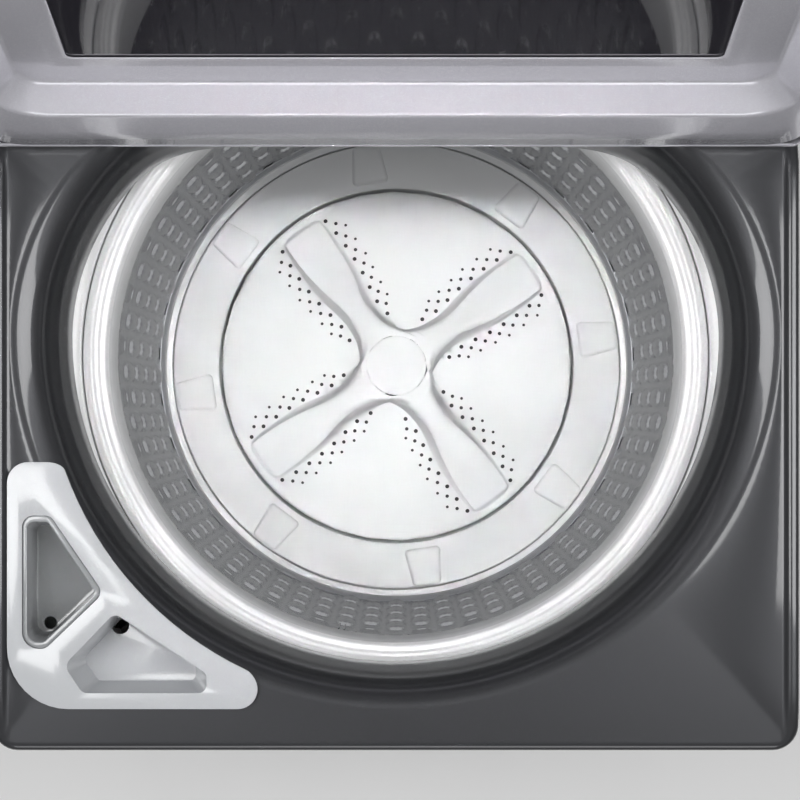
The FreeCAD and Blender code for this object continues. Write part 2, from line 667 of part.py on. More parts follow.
def power_gland():
    """Strain relief bush that the power lead would pass through."""
    x, z = GLAND_AT
    bush = rod(8.8, (x, CAB_Y - 14, z), (x, CAB_Y - 0.3, z))
    collar = rod(12.5, (x, CAB_Y - 5.5, z), (x, CAB_Y - 2.1, z))
    return bush.fuse(collar).cut(rod(4.5, (x, CAB_Y - 20, z), (x, CAB_Y + 2, z))).removeSplitter()


# ---- suspension ---------------------------------------------------------------------------
CUP_TOP = 300.0


def corner_bracket(x, y):
    """Folded bracket in the cabinet's top corner that a rod hangs from."""
    sx, sy = math.copysign(1, x), math.copysign(1, y)
    edge_x, edge_y = CAB_X - SHEET - 0.3, CAB_Y - 2 - SHEET - 0.6
    plan = [(sx * edge_x, sy * (abs(y) - 42)), (sx * edge_x, sy * (edge_y - 22)),
            (sx * (edge_x - 22), sy * edge_y), (sx * (abs(x) - 42), sy * edge_y),
            (sx * (abs(x) - 20), sy * (abs(y) - 20))]
    plan = [(a, b) for a, b in plan]
    points = [V(a, b, ROD_TOP - 14) for a, b in plan]
    plate = Part.Face(Part.makePolygon(points + points[:1])).extrude(V(0, 0, 4))
    return plate.cut(cyl(6.0, (ROD_TOP - 20, ROD_TOP + 10), (x, y)))


def rod_seat(x, y):
    """Plastic ball seat between a rod's head and its bracket."""
    seat = turned([(0, ROD_TOP - 9.8), (13, ROD_TOP - 9.8), (13, ROD_TOP - 4), (8, ROD_TOP), (0, ROD_TOP)],
                  (x, y))
    return seat.cut(cyl(ROD_R + 0.2, (ROD_TOP - 20, ROD_TOP + 10), (x, y)))


def suspension_rod(x, y):
    """Steel rod with a head above and a foot plate below."""
    shaft = cyl(ROD_R, (ROD_FOOT, ROD_TOP + 0.2), (x, y))
    head = turned([(0, ROD_TOP + 0.2), (8, ROD_TOP + 0.2), (8, ROD_TOP + 4), (4, ROD_TOP + 8),
                   (0, ROD_TOP + 8)], (x, y))
    foot = cyl(17.0, (ROD_FOOT - 3, ROD_FOOT), (x, y))
    return shaft.fuse(head).fuse(foot).removeSplitter()


def suspension_spring(x, y):
    """Coil spring between a rod's foot and the tub's cup."""
    low, high, wire, r = ROD_FOOT + 2.6, CUP_TOP - 2.6, 2.4, 12.5
    turns = 5
    path = Part.makeHelix((high - low) / turns, high - low, r)
    path.translate(V(x, y, low))
    ring = Part.Wire(Part.makeCircle(wire, V(x + r, y, low), V(0, 1, 0)))
    return Part.Wire(path.Edges).makePipeShell([ring], True, True)


def damper_cup(x, y):
    """Plastic cup under a tub lug, pressed up by the spring and rubbing on the rod."""
    cup = turned([(0, CUP_TOP), (17, CUP_TOP), (17, LUG_Z - 12.2), (0, LUG_Z - 12.2)], (x, y))
    return cup.cut(cyl(ROD_R + 0.3, (CUP_TOP - 10, LUG_Z + 10), (x, y)))


# ---- tub ----------------------------------------------------------------------------------
def outer_tub():
    """Plastic tub with a bearing boss, a sump outlet and four suspension lugs."""
    tub = turned([(46, TUB_BOTTOM), (TUB_R - 14, TUB_BOTTOM), (TUB_R, TUB_BOTTOM + 14), (TUB_R, TUB_TOP),
                  (TUB_R - TUB_T, TUB_TOP), (TUB_R - TUB_T, TUB_BOTTOM + 18),
                  (TUB_R - 18, TUB_BOTTOM + 6), (46, TUB_BOTTOM + 6)])

    def lug(x, y):
        sx, sy = math.copysign(1, x), math.copysign(1, y)
        inner = (TUB_R - 2) * math.sqrt(0.5)
        corners = [(inner + 24, inner - 24), (abs(x) + 18, abs(y) - 12), (abs(x) + 18, abs(y) + 18),
                   (abs(x) - 12, abs(y) + 18), (inner - 24, inner + 24)]
        points = [V(sx * cx, sy * cy, LUG_Z - 12) for cx, cy in corners]
        pad = Part.Face(Part.makePolygon(points + points[:1])).extrude(V(0, 0, 12))
        return pad.cut(cyl(ROD_R + 3, (0, 500), (x, y))).cut(cyl(TUB_R - 2, (0, 900)))

    tub = tub.fuse(four_corners(lug))
    return tub.cut(cyl(14.0, (TUB_BOTTOM - 5, TUB_BOTTOM + 12), SUMP_AT)).removeSplitter()


SUMP_AT = (-150.0, -150.0)


def tub_ring():
    """White splash ring clipped over the tub's rim, down to the gap round the balance ring."""
    r, z = RING_GAP_R + 1.0, TUB_TOP
    return turned([(r, z + 7), (r + 1.5, z + 10), (r + 4, z + 10.5), (r + 6, z + 15), (r + 9, z + 20),
                   (TUB_R - 3, z + 20), (TUB_R + 3, z + 17), (TUB_R + 4.5, z + 12), (TUB_R + 4.5, z - 16),
                   (TUB_R + 0.3, z - 16), (TUB_R + 0.3, z + 0.3), (TUB_R - TUB_T - 0.3, z + 0.3),
                   (TUB_R - TUB_T - 0.3, z - 8), (TUB_R - TUB_T - 3, z - 8), (TUB_R - TUB_T - 3, z + 5)])


def bearing_housing():
    """Cast housing bolted under the tub's middle."""
    low = TUB_BOTTOM - 62
    return turned([(BEARING_R, low), (58, low), (62, low + 8), (62, TUB_BOTTOM - 12),
                   (84, TUB_BOTTOM - 0.2),
                   (45.6, TUB_BOTTOM - 0.2), (45.6, TUB_BOTTOM + 20), (38.4, TUB_BOTTOM + 26),
                   (BEARING_R, TUB_BOTTOM + 26)])


BEARING_R = 36.0


def bearings():
    """Two ball bearings, drawn as closed rings, round the spin tube."""
    low = TUB_BOTTOM - 60
    return [tube(BEARING_R, TUBE_R + RUN, z) for z in ((low, low + 18), (TUB_BOTTOM, TUB_BOTTOM + 16))]


def shaft_seal():
    """Rubber lip seal above the upper bearing."""
    return turned([(TUBE_R + 0.3, TUB_BOTTOM + 17), (BEARING_R, TUB_BOTTOM + 17),
                   (BEARING_R, TUB_BOTTOM + 26), (TUBE_R + 8, TUB_BOTTOM + 26),
                   (TUBE_R + 0.3, TUB_BOTTOM + 23)])


def clutch_housing():
    """Die-cast clutch and brake housing between the bearings and the pulley."""
    top = TUB_BOTTOM - 62.2
    return turned([(TUBE_R + 4, top), (74, top), (78, top - 10), (78, top - 52), (60, top - 60),
                   (TUBE_R - 6, top - 60), (TUBE_R - 6, top - 54), (54, top - 54), (70, top - 48),
                   (70, top - 8), (TUBE_R + 4, top - 6)])


MOTOR_R = 66.0
MOTOR_Z = (116.0, 196.0)


def motor_bracket():
    """Steel plate that carries the motor from the tub's underside."""
    x, y = MOTOR_AT
    plate = rounded_box((82.0, x + 86), (y - 84, y + 84), 16.0, (MOTOR_Z[1] + 0.3, MOTOR_Z[1] + 4.3))
    for px, py in ((x - 80, y - 68), (x - 80, y + 68), (x + 72, y - 62), (x + 72, y + 62)):
        plate = plate.fuse(cyl(8.0, (MOTOR_Z[1] + 4, TUB_BOTTOM - 0.3), (px, py)))
    return plate


def motor_body():
    """Motor can with its end bells."""
    return turned([(8.4, MOTOR_Z[0]), (44, MOTOR_Z[0]), (MOTOR_R, MOTOR_Z[0] + 12),
                   (MOTOR_R, MOTOR_Z[1] - 8),
                   (MOTOR_R - 8, MOTOR_Z[1]), (8.4, MOTOR_Z[1])], MOTOR_AT)


def motor_pulley():
    """Motor shaft with its small grooved pulley."""
    z = PULLEY_Z
    return turned([(0, z - 12), (MOTOR_PULLEY_R + 2, z - 12), (MOTOR_PULLEY_R + 2, z - 8.5),
                   (MOTOR_PULLEY_R, z - 8),
                   (MOTOR_PULLEY_R, z + 8), (MOTOR_PULLEY_R + 2, z + 8.5), (MOTOR_PULLEY_R + 2, z + 12),
                   (8.0, z + 12), (8.0, MOTOR_Z[1] - 6), (0, MOTOR_Z[1] - 6)], MOTOR_AT)


def drive_belt():
    """Flat ribbed belt round both pulleys."""
    def loop(grow, z):
        r1, r2, d = PULLEY_R + grow, MOTOR_PULLEY_R + grow, MOTOR_AT[0]
        lean = math.asin((r1 - r2) / d)
        c, s = math.cos(math.pi / 2 - lean), math.sin(math.pi / 2 - lean)
        top1, top2 = V(r1 * c, r1 * s, z), V(d + r2 * c, r2 * s, z)
        low1, low2 = V(r1 * c, -r1 * s, z), V(d + r2 * c, -r2 * s, z)
        round_one = Part.Arc(top1, V(-r1, 0, z), low1)
        round_two = Part.Arc(low2, V(d + r2, 0, z), top2)
        runs = [round_one, Part.LineSegment(low1, low2), round_two, Part.LineSegment(top2, top1)]
        return Part.Wire([run.toShape() for run in runs])

    height = V(0, 0, 13.0)
    outer = Part.Face(loop(3.6, PULLEY_Z - 6.5)).extrude(height)
    return outer.cut(Part.Face(loop(0.4, PULLEY_Z - 6.5)).extrude(height))


PUMP_AT = (-150.0, -238.0)
PUMP_Z = 130.0


def drain_pump():
    """Pump volute over its motor, on a foot plate across the base frame."""
    x, y = PUMP_AT
    volute = tube(38.0, 32.0, (PUMP_Z - 18, PUMP_Z + 18), PUMP_AT)
    floor = cyl(38.0, (PUMP_Z - 21, PUMP_Z - 18), PUMP_AT)
    lid = tube(38.0, 11.0, (PUMP_Z + 18, PUMP_Z + 21), PUMP_AT)
    neck = tube(15.0, 11.0, (PUMP_Z + 20, PUMP_Z + 38), PUMP_AT)
    outlet = rod(13.0, (x + 30, y, PUMP_Z + 6), (x + 30, y + 52, PUMP_Z + 6))
    outlet = outlet.cut(cyl(33.0, (PUMP_Z - 30, PUMP_Z + 40), PUMP_AT))
    can = cyl(30.0, (PUMP_Z - 56, PUMP_Z - 21), PUMP_AT)
    post = cyl(24.0, (FOOT_H + BASE_H + 2, PUMP_Z - 56), PUMP_AT)
    foot = rounded_box((x - 50, x + 50), (-CAB_Y + 8, y + 40), 8.0,
                       (FOOT_H + BASE_H + 0.3, FOOT_H + BASE_H + 3))
    body = volute.fuse([floor, lid, neck, outlet, can, post, foot])
    body = body.cut(rod(10.0, (x + 30, y, PUMP_Z + 6), (x + 30, y + 60, PUMP_Z + 6)))
    return body.cut(cyl(3.3, (PUMP_Z - 50.5, PUMP_Z - 10), PUMP_AT)).removeSplitter()


def pump_impeller():
    """Four-bladed pump impeller on its spindle."""
    x, y = PUMP_AT
    wheel = cyl(26.0, (PUMP_Z - 14, PUMP_Z - 11), PUMP_AT)
    wheel = wheel.fuse(cyl(3.0, (PUMP_Z - 50, PUMP_Z + 4), PUMP_AT))
    for a, b in ((27, 1.4), (1.4, 27)):
        wheel = wheel.fuse(box((x - a, x + a), (y - b, y + b), (PUMP_Z - 12, PUMP_Z + 8)))
    return wheel.removeSplitter()


def sump_hose():
    """Bellows hose from the tub's sump to the pump, drawn as a plain bar."""
    points = [V(SUMP_AT[0], SUMP_AT[1], TUB_BOTTOM - 0.3), V(SUMP_AT[0], SUMP_AT[1], TUB_BOTTOM - 40),
              V(PUMP_AT[0], PUMP_AT[1], PUMP_Z + 60), V(PUMP_AT[0], PUMP_AT[1], PUMP_Z + 38.3)]
    return bent_tube(points, 13.5)


# ---- basket -------------------------------------------------------------------------------
def basket_wall():
    """Stainless steel wall."""
    return tube(BASKET_R + BASKET_T, BASKET_R, WALL_Z)


def basket_base():
    """White plastic floor with a raised hub, dished towards the wash plate."""
    r = BASKET_R
    seat = PLATE_R + PLATE_GAP
    floor = turned([(TUBE_R, 262), (60, 262), (76, 286), (seat - 6, 288), (seat + 3, 305), (r - 13, 310),
                    (r - 2, 326), (r - 2, 336), (r, 338), (r, WALL_Z[0] + 4), (r - 4, WALL_Z[0] + 4),
                    (r - 6, 334), (r - 12, FLOOR_Z + 6), (seat, FLOOR_Z), (seat, 292), (TUBE_R, 290)])
    pads = []
    for i in range(8):
        pad = Part.Face(Part.makePolygon([V(207, -22, 304), V(r - 13, -17, 304), V(r - 13, 17, 304),
                                          V(207, 22, 304), V(207, -22, 304)])).extrude(V(0, 0, 18))
        wedge = turned([(205, 307), (r - 10, 312), (r - 10, FLOOR_Z + 9), (205, FLOOR_Z + 4)])
        pad = pad.common(wedge)
        pad.rotate(V(0, 0, 0), V(0, 0, 1), 8 + 45 * i)
        pads.append(pad)
    return floor.fuse(pads).removeSplitter()


def balance_ring():
    """White ring filled with brine, round the top of the basket."""
    r, z = BASKET_R, DECK_Z
    return turned([(r - 3, z - 200), (r, z - 200), (r, z - 188), (r + BASKET_T, z - 188),
                   (r + 3, z - 194), (r + 16, z - 184), (RING_GAP_R - 1.5, z - 176),
                   (RING_GAP_R - 1.5, z - 122), (RING_GAP_R - 4, z - 118), (r + 12, z - 117),
                   (r + 9, z - 122), (r + 7, z - 128), (r + 2, z - 130),
                   (r - 2, z - 138), (r - 3, z - 146)])


def spin_tube():
    """Tube that carries the basket, through both bearings into the clutch."""
    low = TUB_BOTTOM - 98
    tube_part = tube(TUBE_R, SHAFT_R + 4, (low, 291.5))
    flange = tube(52.0, TUBE_R - 1, (258.5, 261.8))
    return tube_part.fuse(flange).removeSplitter()


def sleeve_bushes():
    """Bronze bushes between the spin tube and the drive shaft."""
    levels = ((TUB_BOTTOM - 96, TUB_BOTTOM - 76), (270.0, 290.0))
    return [tube(SHAFT_R + 4, SHAFT_R + RUN, z) for z in levels]


# ---- wash plate ---------------------------------------------------------------------------
def arm_outline(z):
    """Four-armed star: each arm has a curved waist and a square end."""
    end_r, end_half, waist_r = 187.0, 7.0, 40.0
    edges = []
    for i in range(ARMS):
        a = math.radians(ARM_TURN + 360.0 / ARMS * i)
        step = 2 * math.pi / ARMS
        h = math.radians(end_half)
        p = [V(end_r * math.cos(t), end_r * math.sin(t), z) for t in (a - h, a, a + h)]
        edges.append(Part.Arc(*p).toShape())
        nxt = V(end_r * math.cos(a + step - h), end_r * math.sin(a + step - h), z)
        guide = [(120.0, 0.21), (80.0, 0.33), (52.0, 0.52), (waist_r, step / 2)]
        bend = [V(r * math.cos(a + t), r * math.sin(a + t), z) for r, t in guide]
        bend += [V(r * math.cos(a + step - t), r * math.sin(a + step - t), z) for r, t in guide[-2::-1]]
        curve = Part.BSplineCurve()
        curve.interpolate([p[2]] + bend + [nxt])
        edges.append(curve.toShape())
    return Part.Wire(edges)


def wash_plate():
    """White wash plate: a dished disc with a rim and four raised arms."""
    z = FLOOR_Z
    disc = turned([(0, z - 14), (PLATE_R - 3, z - 14), (PLATE_R, z - 11), (PLATE_R, z - 1),
                   (PLATE_R - 3, z),
                   (60, z - 8), (0, z - 8)])
    star = Part.Face(arm_outline(z - 12)).extrude(V(0, 0, 60))
    crown = turned([(0, z - 14), (192, z - 14), (192, z + 4), (140, z + 9), (90, z + 20),
                    (50, z + 28), (0, z + 28)])
    plate = disc.fuse(star.common(crown))
    plate = plate.cut(cyl(CAP_R + 0.3, (z + 24, z + 40))).cut(cyl(12.0, (z + 8, z + 30)))
    under = turned([(60, z - 15), (PLATE_R - 8, z - 15), (PLATE_R - 8, z - 4), (60, z - 11.5)])
    return plate.cut(cyl(SHAFT_R - 3, (z - 20, z + 40))).cut(under).removeSplitter()


def wash_plate_bolt():
    """Bolt that holds the wash plate on its shaft."""
    z = FLOOR_Z
    return cyl(SHAFT_R - 3.1, (z - 13.8, z + 9)).fuse(cyl(11.0, (z + 8.1, z + 16))).removeSplitter()


def centre_cap():
    """Snap-in cap over the bolt."""
    z = FLOOR_Z
    return turned([(0, z + 24.3), (CAP_R, z + 24.3), (CAP_R, z + 28.5), (CAP_R - 4, z + 30),
                   (12, z + 31.5), (0, z + 32)])


def drive_shaft():
    """Steel shaft from the pulley up to the wash plate."""
    return cyl(SHAFT_R, (PULLEY_Z - 16, FLOOR_Z - 14.2))


def drive_pulley():
    """Large pulley with a web and a hub, on the foot of the drive shaft."""
    z = PULLEY_Z
    rim = tube(PULLEY_R, PULLEY_R - 6, (z - 10, z + 10))
    web = tube(PULLEY_R - 5, 20, (z - 2, z + 2))
    for i in range(6):
        a = math.radians(60 * i)
        web = web.cut(cyl(19.0, (z - 5, z + 5), (58 * math.cos(a), 58 * math.sin(a))))
    hub = tube(22.0, SHAFT_R, (z - 14, z + 14))
    return rim.fuse(web).fuse(hub).removeSplitter()


# ---- everything together -------------------------------------------------------------------
def main():
    save("cabinet_wrap", cabinet_wrap())
    save("rear_panel", rear_panel())
    save("base_frame", base_frame())
    feet = [levelling_foot(sx * FOOT_AT[0], sy * FOOT_AT[1]) for sx in (-1, 1) for sy in (-1, 1)]
    save("levelling_feet", [f[0] for f in feet])
    save("foot_lock_nuts", [f[1] for f in feet])
    save("top_deck", top_deck())
    save("dispenser_tray", dispenser_tray())
    save("bleach_cup", bleach_cup())
    save("hinge_arms", hinge_arms())
    save("lid_lock_housing", lid_lock_housing())
    save("lock_bolt", lock_bolt())
    for name, make in (("lid_shell", lid_shell), ("lid_inner_pan", lid_inner_pan), ("lid_glass", lid_glass),
                       ("lid_handle", lid_handle), ("lid_strike", lid_strike)):
        save(name, open_lid(make()))
    for name, make in (("lid_bumpers", lid_bumpers), ("hinge_pins", hinge_pins)):
        save(name, [open_lid(s) for s in make()])
    save("console_housing", console_housing())
    save("console_fascia", console_fascia())
    save("display_window", display_window())
    save("cycle_knob", cycle_knob())
    for i in range(len(BUTTONS) - 1):
        save("option_button_%d" % (i + 1), button(i))
    save("start_button", button(len(BUTTONS) - 1))
    save("control_board", control_board())
    save("water_valve", water_valve())
    save("fill_hose", fill_hose())
    save("fill_nozzle", fill_nozzle())
    save("drain_fitting", drain_fitting())
    save("drain_hose", drain_hose())
    save("power_gland", power_gland())
    save("corner_brackets", four_corners(corner_bracket))
    save("rod_seats", four_corners(rod_seat))
    save("suspension_rods", four_corners(suspension_rod))
    save("suspension_springs", four_corners(suspension_spring))
    save("damper_cups", four_corners(damper_cup))
    save("outer_tub", outer_tub())
    save("tub_ring", tub_ring())
    save("bearing_housing", bearing_housing())
    save("bearings", bearings())
    save("shaft_seal", shaft_seal())
    save("clutch_housing", clutch_housing())
    save("motor_bracket", motor_bracket())
    save("motor_body", motor_body())
    save("motor_pulley", motor_pulley())
    save("drive_belt", drive_belt())
    save("drain_pump", drain_pump())
    save("pump_impeller", pump_impeller())
    save("sump_hose", sump_hose())
    save("basket_wall", basket_wall())
    save("basket_base", basket_base())
    save("balance_ring", balance_ring())
    save("spin_tube", spin_tube())
    save("sleeve_bushes", sleeve_bushes())
    save("wash_plate", wash_plate())
    save("wash_plate_bolt", wash_plate_bolt())
    save("centre_cap", centre_cap())
    save("drive_shaft", drive_shaft())
    save("drive_pulley", drive_pulley())


main()
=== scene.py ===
import math

import bmesh
import bpy
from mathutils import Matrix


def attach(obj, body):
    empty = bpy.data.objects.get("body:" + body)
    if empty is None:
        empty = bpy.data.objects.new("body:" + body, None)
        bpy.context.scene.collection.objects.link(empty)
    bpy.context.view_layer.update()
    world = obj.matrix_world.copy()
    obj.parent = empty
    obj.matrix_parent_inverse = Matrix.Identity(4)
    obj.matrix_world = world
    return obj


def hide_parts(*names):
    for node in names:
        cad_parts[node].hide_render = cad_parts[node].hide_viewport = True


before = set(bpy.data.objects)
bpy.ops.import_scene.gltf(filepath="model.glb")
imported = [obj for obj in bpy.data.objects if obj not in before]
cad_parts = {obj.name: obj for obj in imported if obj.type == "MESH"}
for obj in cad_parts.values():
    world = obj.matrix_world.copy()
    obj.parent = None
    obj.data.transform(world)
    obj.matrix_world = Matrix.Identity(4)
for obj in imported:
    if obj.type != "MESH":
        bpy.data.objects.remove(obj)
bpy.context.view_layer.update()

# ---- base frame and feet ------------------------------------------------------------------
# A folded and galvanised steel frame that the cabinet stands on, with a rubber-soled levelling
# foot screwed into each corner and a lock nut above it.
MM = 0.001


def finish(name, colour, rough, metallic=0.0, coat=0.0, coat_rough=0.05, shade=0.06, patch=6.0,
           wear=0.06, grain=400.0, bump=0.0, stretch=(1.0, 1.0, 1.0)):
    """A material whose colour, roughness and surface vary softly over a piece."""
    made = bpy.data.materials.new(name)
    made.use_nodes = True
    tree = made.node_tree
    surface = tree.nodes["Principled BSDF"]
    surface.inputs["Metallic"].default_value = metallic
    surface.inputs["Coat Weight"].default_value = coat
    surface.inputs["Coat Roughness"].default_value = coat_rough
    place = tree.nodes.new("ShaderNodeTexCoord")
    turn = tree.nodes.new("ShaderNodeMapping")
    turn.inputs["Scale"].default_value = stretch
    tree.links.new(place.outputs["Object"], turn.inputs["Vector"])
    broad = tree.nodes.new("ShaderNodeTexNoise")
    broad.inputs["Scale"].default_value = patch
    broad.inputs["Detail"].default_value = 4.0
    tree.links.new(turn.outputs["Vector"], broad.inputs["Vector"])
    tone = tree.nodes.new("ShaderNodeValToRGB")
    tone.color_ramp.elements[0].position = 0.3
    tone.color_ramp.elements[1].position = 0.7
    tone.color_ramp.elements[0].color = [c * (1 - shade) for c in colour] + [1]
    tone.color_ramp.elements[1].color = [min(1, c * (1 + shade)) for c in colour] + [1]
    tree.links.new(broad.outputs["Fac"], tone.inputs["Fac"])
    tree.links.new(tone.outputs["Color"], surface.inputs["Base Color"])
    fine = tree.nodes.new("ShaderNodeTexNoise")
    fine.inputs["Scale"].default_value = grain
    fine.inputs["Detail"].default_value = 3.0
    tree.links.new(turn.outputs["Vector"], fine.inputs["Vector"])
    gloss = tree.nodes.new("ShaderNodeMapRange")
    gloss.inputs["To Min"].default_value = max(0.02, rough - wear)
    gloss.inputs["To Max"].default_value = rough + wear
    tree.links.new(fine.outputs["Fac"], gloss.inputs["Value"])
    tree.links.new(gloss.outputs["Result"], surface.inputs["Roughness"])
    if bump:
        relief = tree.nodes.new("ShaderNodeBump")
        relief.inputs["Strength"].default_value = 0.4
        relief.inputs["Distance"].default_value = bump
        tree.links.new(fine.outputs["Fac"], relief.inputs["Height"])
        tree.links.new(relief.outputs["Normal"], surface.inputs["Normal"])
    return made


def dress(material, *nodes):
    """Gives CAD nodes a material in place of the plain one."""
    for node in nodes:
        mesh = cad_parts[node].data
        mesh.materials.clear()
        mesh.materials.append(material)


zinc = finish("galvanised_sheet", (0.50, 0.51, 0.52), 0.42, 0.9, shade=0.14, patch=40.0, bump=0.0001)
plated = finish("zinc_plated_steel", (0.52, 0.53, 0.55), 0.30, 1.0, shade=0.08, patch=30.0, bump=0.00005)
rubber = finish("black_rubber", (0.022, 0.022, 0.023), 0.62, grain=900.0, bump=0.0002)
dress(zinc, "base_frame")
dress(rubber, "levelling_feet")
dress(plated, "foot_lock_nuts")

# ---- cabinet ------------------------------------------------------------------------------
# One painted sheet folded round the front and both sides, closed behind by a galvanised panel
# with holes for the drain and for the power lead's bush.
enamel = finish("graphite_enamel", (0.040, 0.041, 0.045), 0.34, 0.55, coat=0.7, coat_rough=0.06,
                shade=0.05, patch=3.0, grain=2500.0, bump=0.00002)
dress(enamel, "cabinet_wrap")
dress(zinc, "rear_panel")

# ---- suspension ---------------------------------------------------------------------------
# Four steel rods hang from plastic seats in the corner brackets. Each carries a lug of the tub
# through a coil spring and a plastic cup that rubs on the rod.
nylon = finish("natural_nylon", (0.80, 0.79, 0.74), 0.38, grain=700.0, bump=0.0001)
spring_steel = finish("spring_steel", (0.30, 0.30, 0.31), 0.34, 1.0, patch=60.0)
dress(zinc, "corner_brackets")
dress(nylon, "rod_seats", "damper_cups")
dress(plated, "suspension_rods")
dress(spring_steel, "suspension_springs")

# ---- outer tub ----------------------------------------------------------------------------
# The moulded tub holds the water. A white splash ring is clipped round its rim and reaches in
# to a running gap beside the balance ring.
filled = finish("filled_polypropylene", (0.62, 0.62, 0.60), 0.45, grain=300.0, bump=0.0002)
white = finish("white_polypropylene", (0.80, 0.805, 0.81), 0.36, shade=0.015, patch=9.0, wear=0.05,
               grain=55.0, bump=0.00004)
gloss_white = finish("white_moulding", (0.88, 0.885, 0.89), 0.22, coat=0.15, coat_rough=0.08, shade=0.015,
                     patch=9.0, wear=0.04, grain=55.0, bump=0.00004)
dress(filled, "outer_tub")


def nothing_selected():
    if bpy.context.object and bpy.context.object.mode != "OBJECT":
        bpy.ops.object.mode_set(mode="OBJECT")
    bpy.ops.object.select_all(action="DESELECT")


def pick(test, part="verts"):
    """Selects the vertices, edges or faces of the piece in edit mode that pass a test."""
    piece = bpy.context.edit_object
    work = bmesh.from_edit_mesh(piece.data)
    bpy.ops.mesh.select_all(action="DESELECT")
    bpy.context.tool_settings.mesh_select_mode = (part == "verts", part == "edges", part == "faces")
    found = 0
    for item in getattr(work, part):
        if test(item):
            item.select_set(True)
            found += 1
    work.select_flush_mode()
    bmesh.update_edit_mesh(piece.data)
    return found


def tidy_mesh(gap=0.00002):
    """Merges doubles and turns every face outwards, in edit mode."""
    bpy.ops.mesh.select_all(action="SELECT")
    bpy.ops.mesh.remove_doubles(threshold=gap)
    bpy.ops.mesh.normals_make_consistent(inside=False)


def done(name, material, body, slot, *nodes, angle=40.0):
    """Names the active piece, smooths it by angle, and gives it its material and body; the slot is not used."""
    if bpy.context.object.mode != "OBJECT":
        bpy.ops.object.mode_set(mode="OBJECT")
    piece = bpy.context.object
    nothing_selected()
    piece.select_set(True)
    bpy.context.view_layer.objects.active = piece
    bpy.ops.object.transform_apply(location=True, rotation=True, scale=True)
    bpy.ops.object.shade_smooth_by_angle(angle=math.radians(angle))
    piece.name = name
    piece.data.name = name
    piece.data.materials.clear()
    piece.data.materials.append(material)
    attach(piece, body)
    if nodes:
        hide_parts(*nodes)
    return piece


def turned(points, steps=128):
    """Spins a closed profile of (radius, height, rounding) in millimetres about the machine's axis."""
    nothing_selected()
    bpy.ops.mesh.primitive_plane_add(size=0.01)
    bpy.ops.object.mode_set(mode="EDIT")
    bpy.context.tool_settings.mesh_select_mode = (True, False, False)
    bpy.ops.mesh.select_all(action="SELECT")
    bpy.ops.mesh.merge(type="CENTER")
    here = (0.0, 0.0)
    for i, (r, z, _) in enumerate(points):
        step = ((r - here[0]) * MM, 0, (z - here[1]) * MM)
        if i == 0:
            bpy.ops.transform.translate(value=step)
        else:
            bpy.ops.mesh.extrude_region_move(TRANSFORM_OT_translate={"value": step})
        here = (r, z)
    bpy.ops.mesh.select_all(action="SELECT")
    bpy.ops.mesh.edge_face_add()
    for r, z, rounding in points:
        if rounding:
            pick(lambda v: abs(v.co.x - r * MM) < 1e-5 and abs(v.co.z - z * MM) < 1e-5)
            bpy.ops.mesh.bevel(affect="VERTICES", offset=rounding * MM, segments=4)
    bpy.ops.mesh.select_all(action="SELECT")
    bpy.ops.mesh.delete(type="ONLY_FACE")
    bpy.ops.mesh.select_all(action="SELECT")
    bpy.ops.mesh.spin(steps=steps, angle=2 * math.pi, center=(0, 0, 0), axis=(0, 0, 1))
    tidy_mesh()


TUB_TOP = 812.0
turned([(287.9, 814, 0.8), (287.9, 825, 2.5), (294, 829, 2), (297, 830, 1), (300, 832, 1), (304, 832, 3),
        (308.5, 825, 3), (308.5, 796, 0.6), (304.5, 796, 0.6), (304.5, 812.3, 0.4), (299.7, 812.3, 0.4),
        (299.7, 804, 0.6), (297, 804, 0.6), (297, 810, 2), (290, 812, 2)])
done("splash_ring", gloss_white, "tub", "white_plastic", "tub_ring")

# ---- drive --------------------------------------------------------------------------------
# Under the tub hang the bearing housing, the clutch housing and the motor on its bracket. A
# ribbed belt joins the motor's small pulley to the large cast pulley on the drive shaft.
casting = finish("die_cast_aluminium", (0.56, 0.57, 0.58), 0.42, 1.0, shade=0.1, patch=50.0, grain=700.0, bump=0.0002)
# The motor's own dark varnish; the same material on the basket hub is painted shade.
varnish_and_hub_shade = finish("motor_varnish_and_hub_shade", (0.05, 0.052, 0.056), 0.40, 0.2, patch=20.0, bump=0.0001)
bronze = finish("sintered_bronze", (0.42, 0.27, 0.13), 0.38, 1.0, grain=1500.0, bump=0.0001)
dress(casting, "bearing_housing", "clutch_housing", "drive_pulley")
dress(plated, "bearings", "spin_tube", "drive_shaft", "motor_pulley", "wash_plate_bolt")
dress(rubber, "shaft_seal", "drive_belt")
dress(zinc, "motor_bracket")
dress(varnish_and_hub_shade, "motor_body")
dress(bronze, "sleeve_bushes")

# ---- basket wall --------------------------------------------------------------------------
# Stainless sheet, pressed with staggered columns of long oval bosses that each have a small
# drain hole, rolled into a cylinder and seam welded. Larger holes in pairs run round its top.
BASKET_R = 264.2
COLUMNS = 66
BOSS_PITCH = 87.5
steel = finish("embossed_stainless", (0.215, 0.22, 0.232), 0.20, 1.0, shade=0.08, patch=14.0, wear=0.06,
               grain=260.0, bump=0.00008)
tree = steel.node_tree
surface = tree.nodes["Principled BSDF"]
# Faces that tilt upwards get a near-white metal colour from a mask. This is a painted highlight standing in for the
# light that the ends of the bosses catch.
painted_highlight = tree.nodes.new("ShaderNodeAttribute")
painted_highlight.attribute_name = "painted_highlight"
blend = tree.nodes.new("ShaderNodeMix")
blend.data_type = "RGBA"
blend.inputs["B"].default_value = (0.95, 0.96, 0.97, 1)
tree.links.new(painted_highlight.outputs["Fac"], blend.inputs["Factor"])
tree.links.new(surface.inputs["Base Color"].links[0].from_socket, blend.inputs["A"])
tree.links.new(blend.outputs["Result"], surface.inputs["Base Color"])


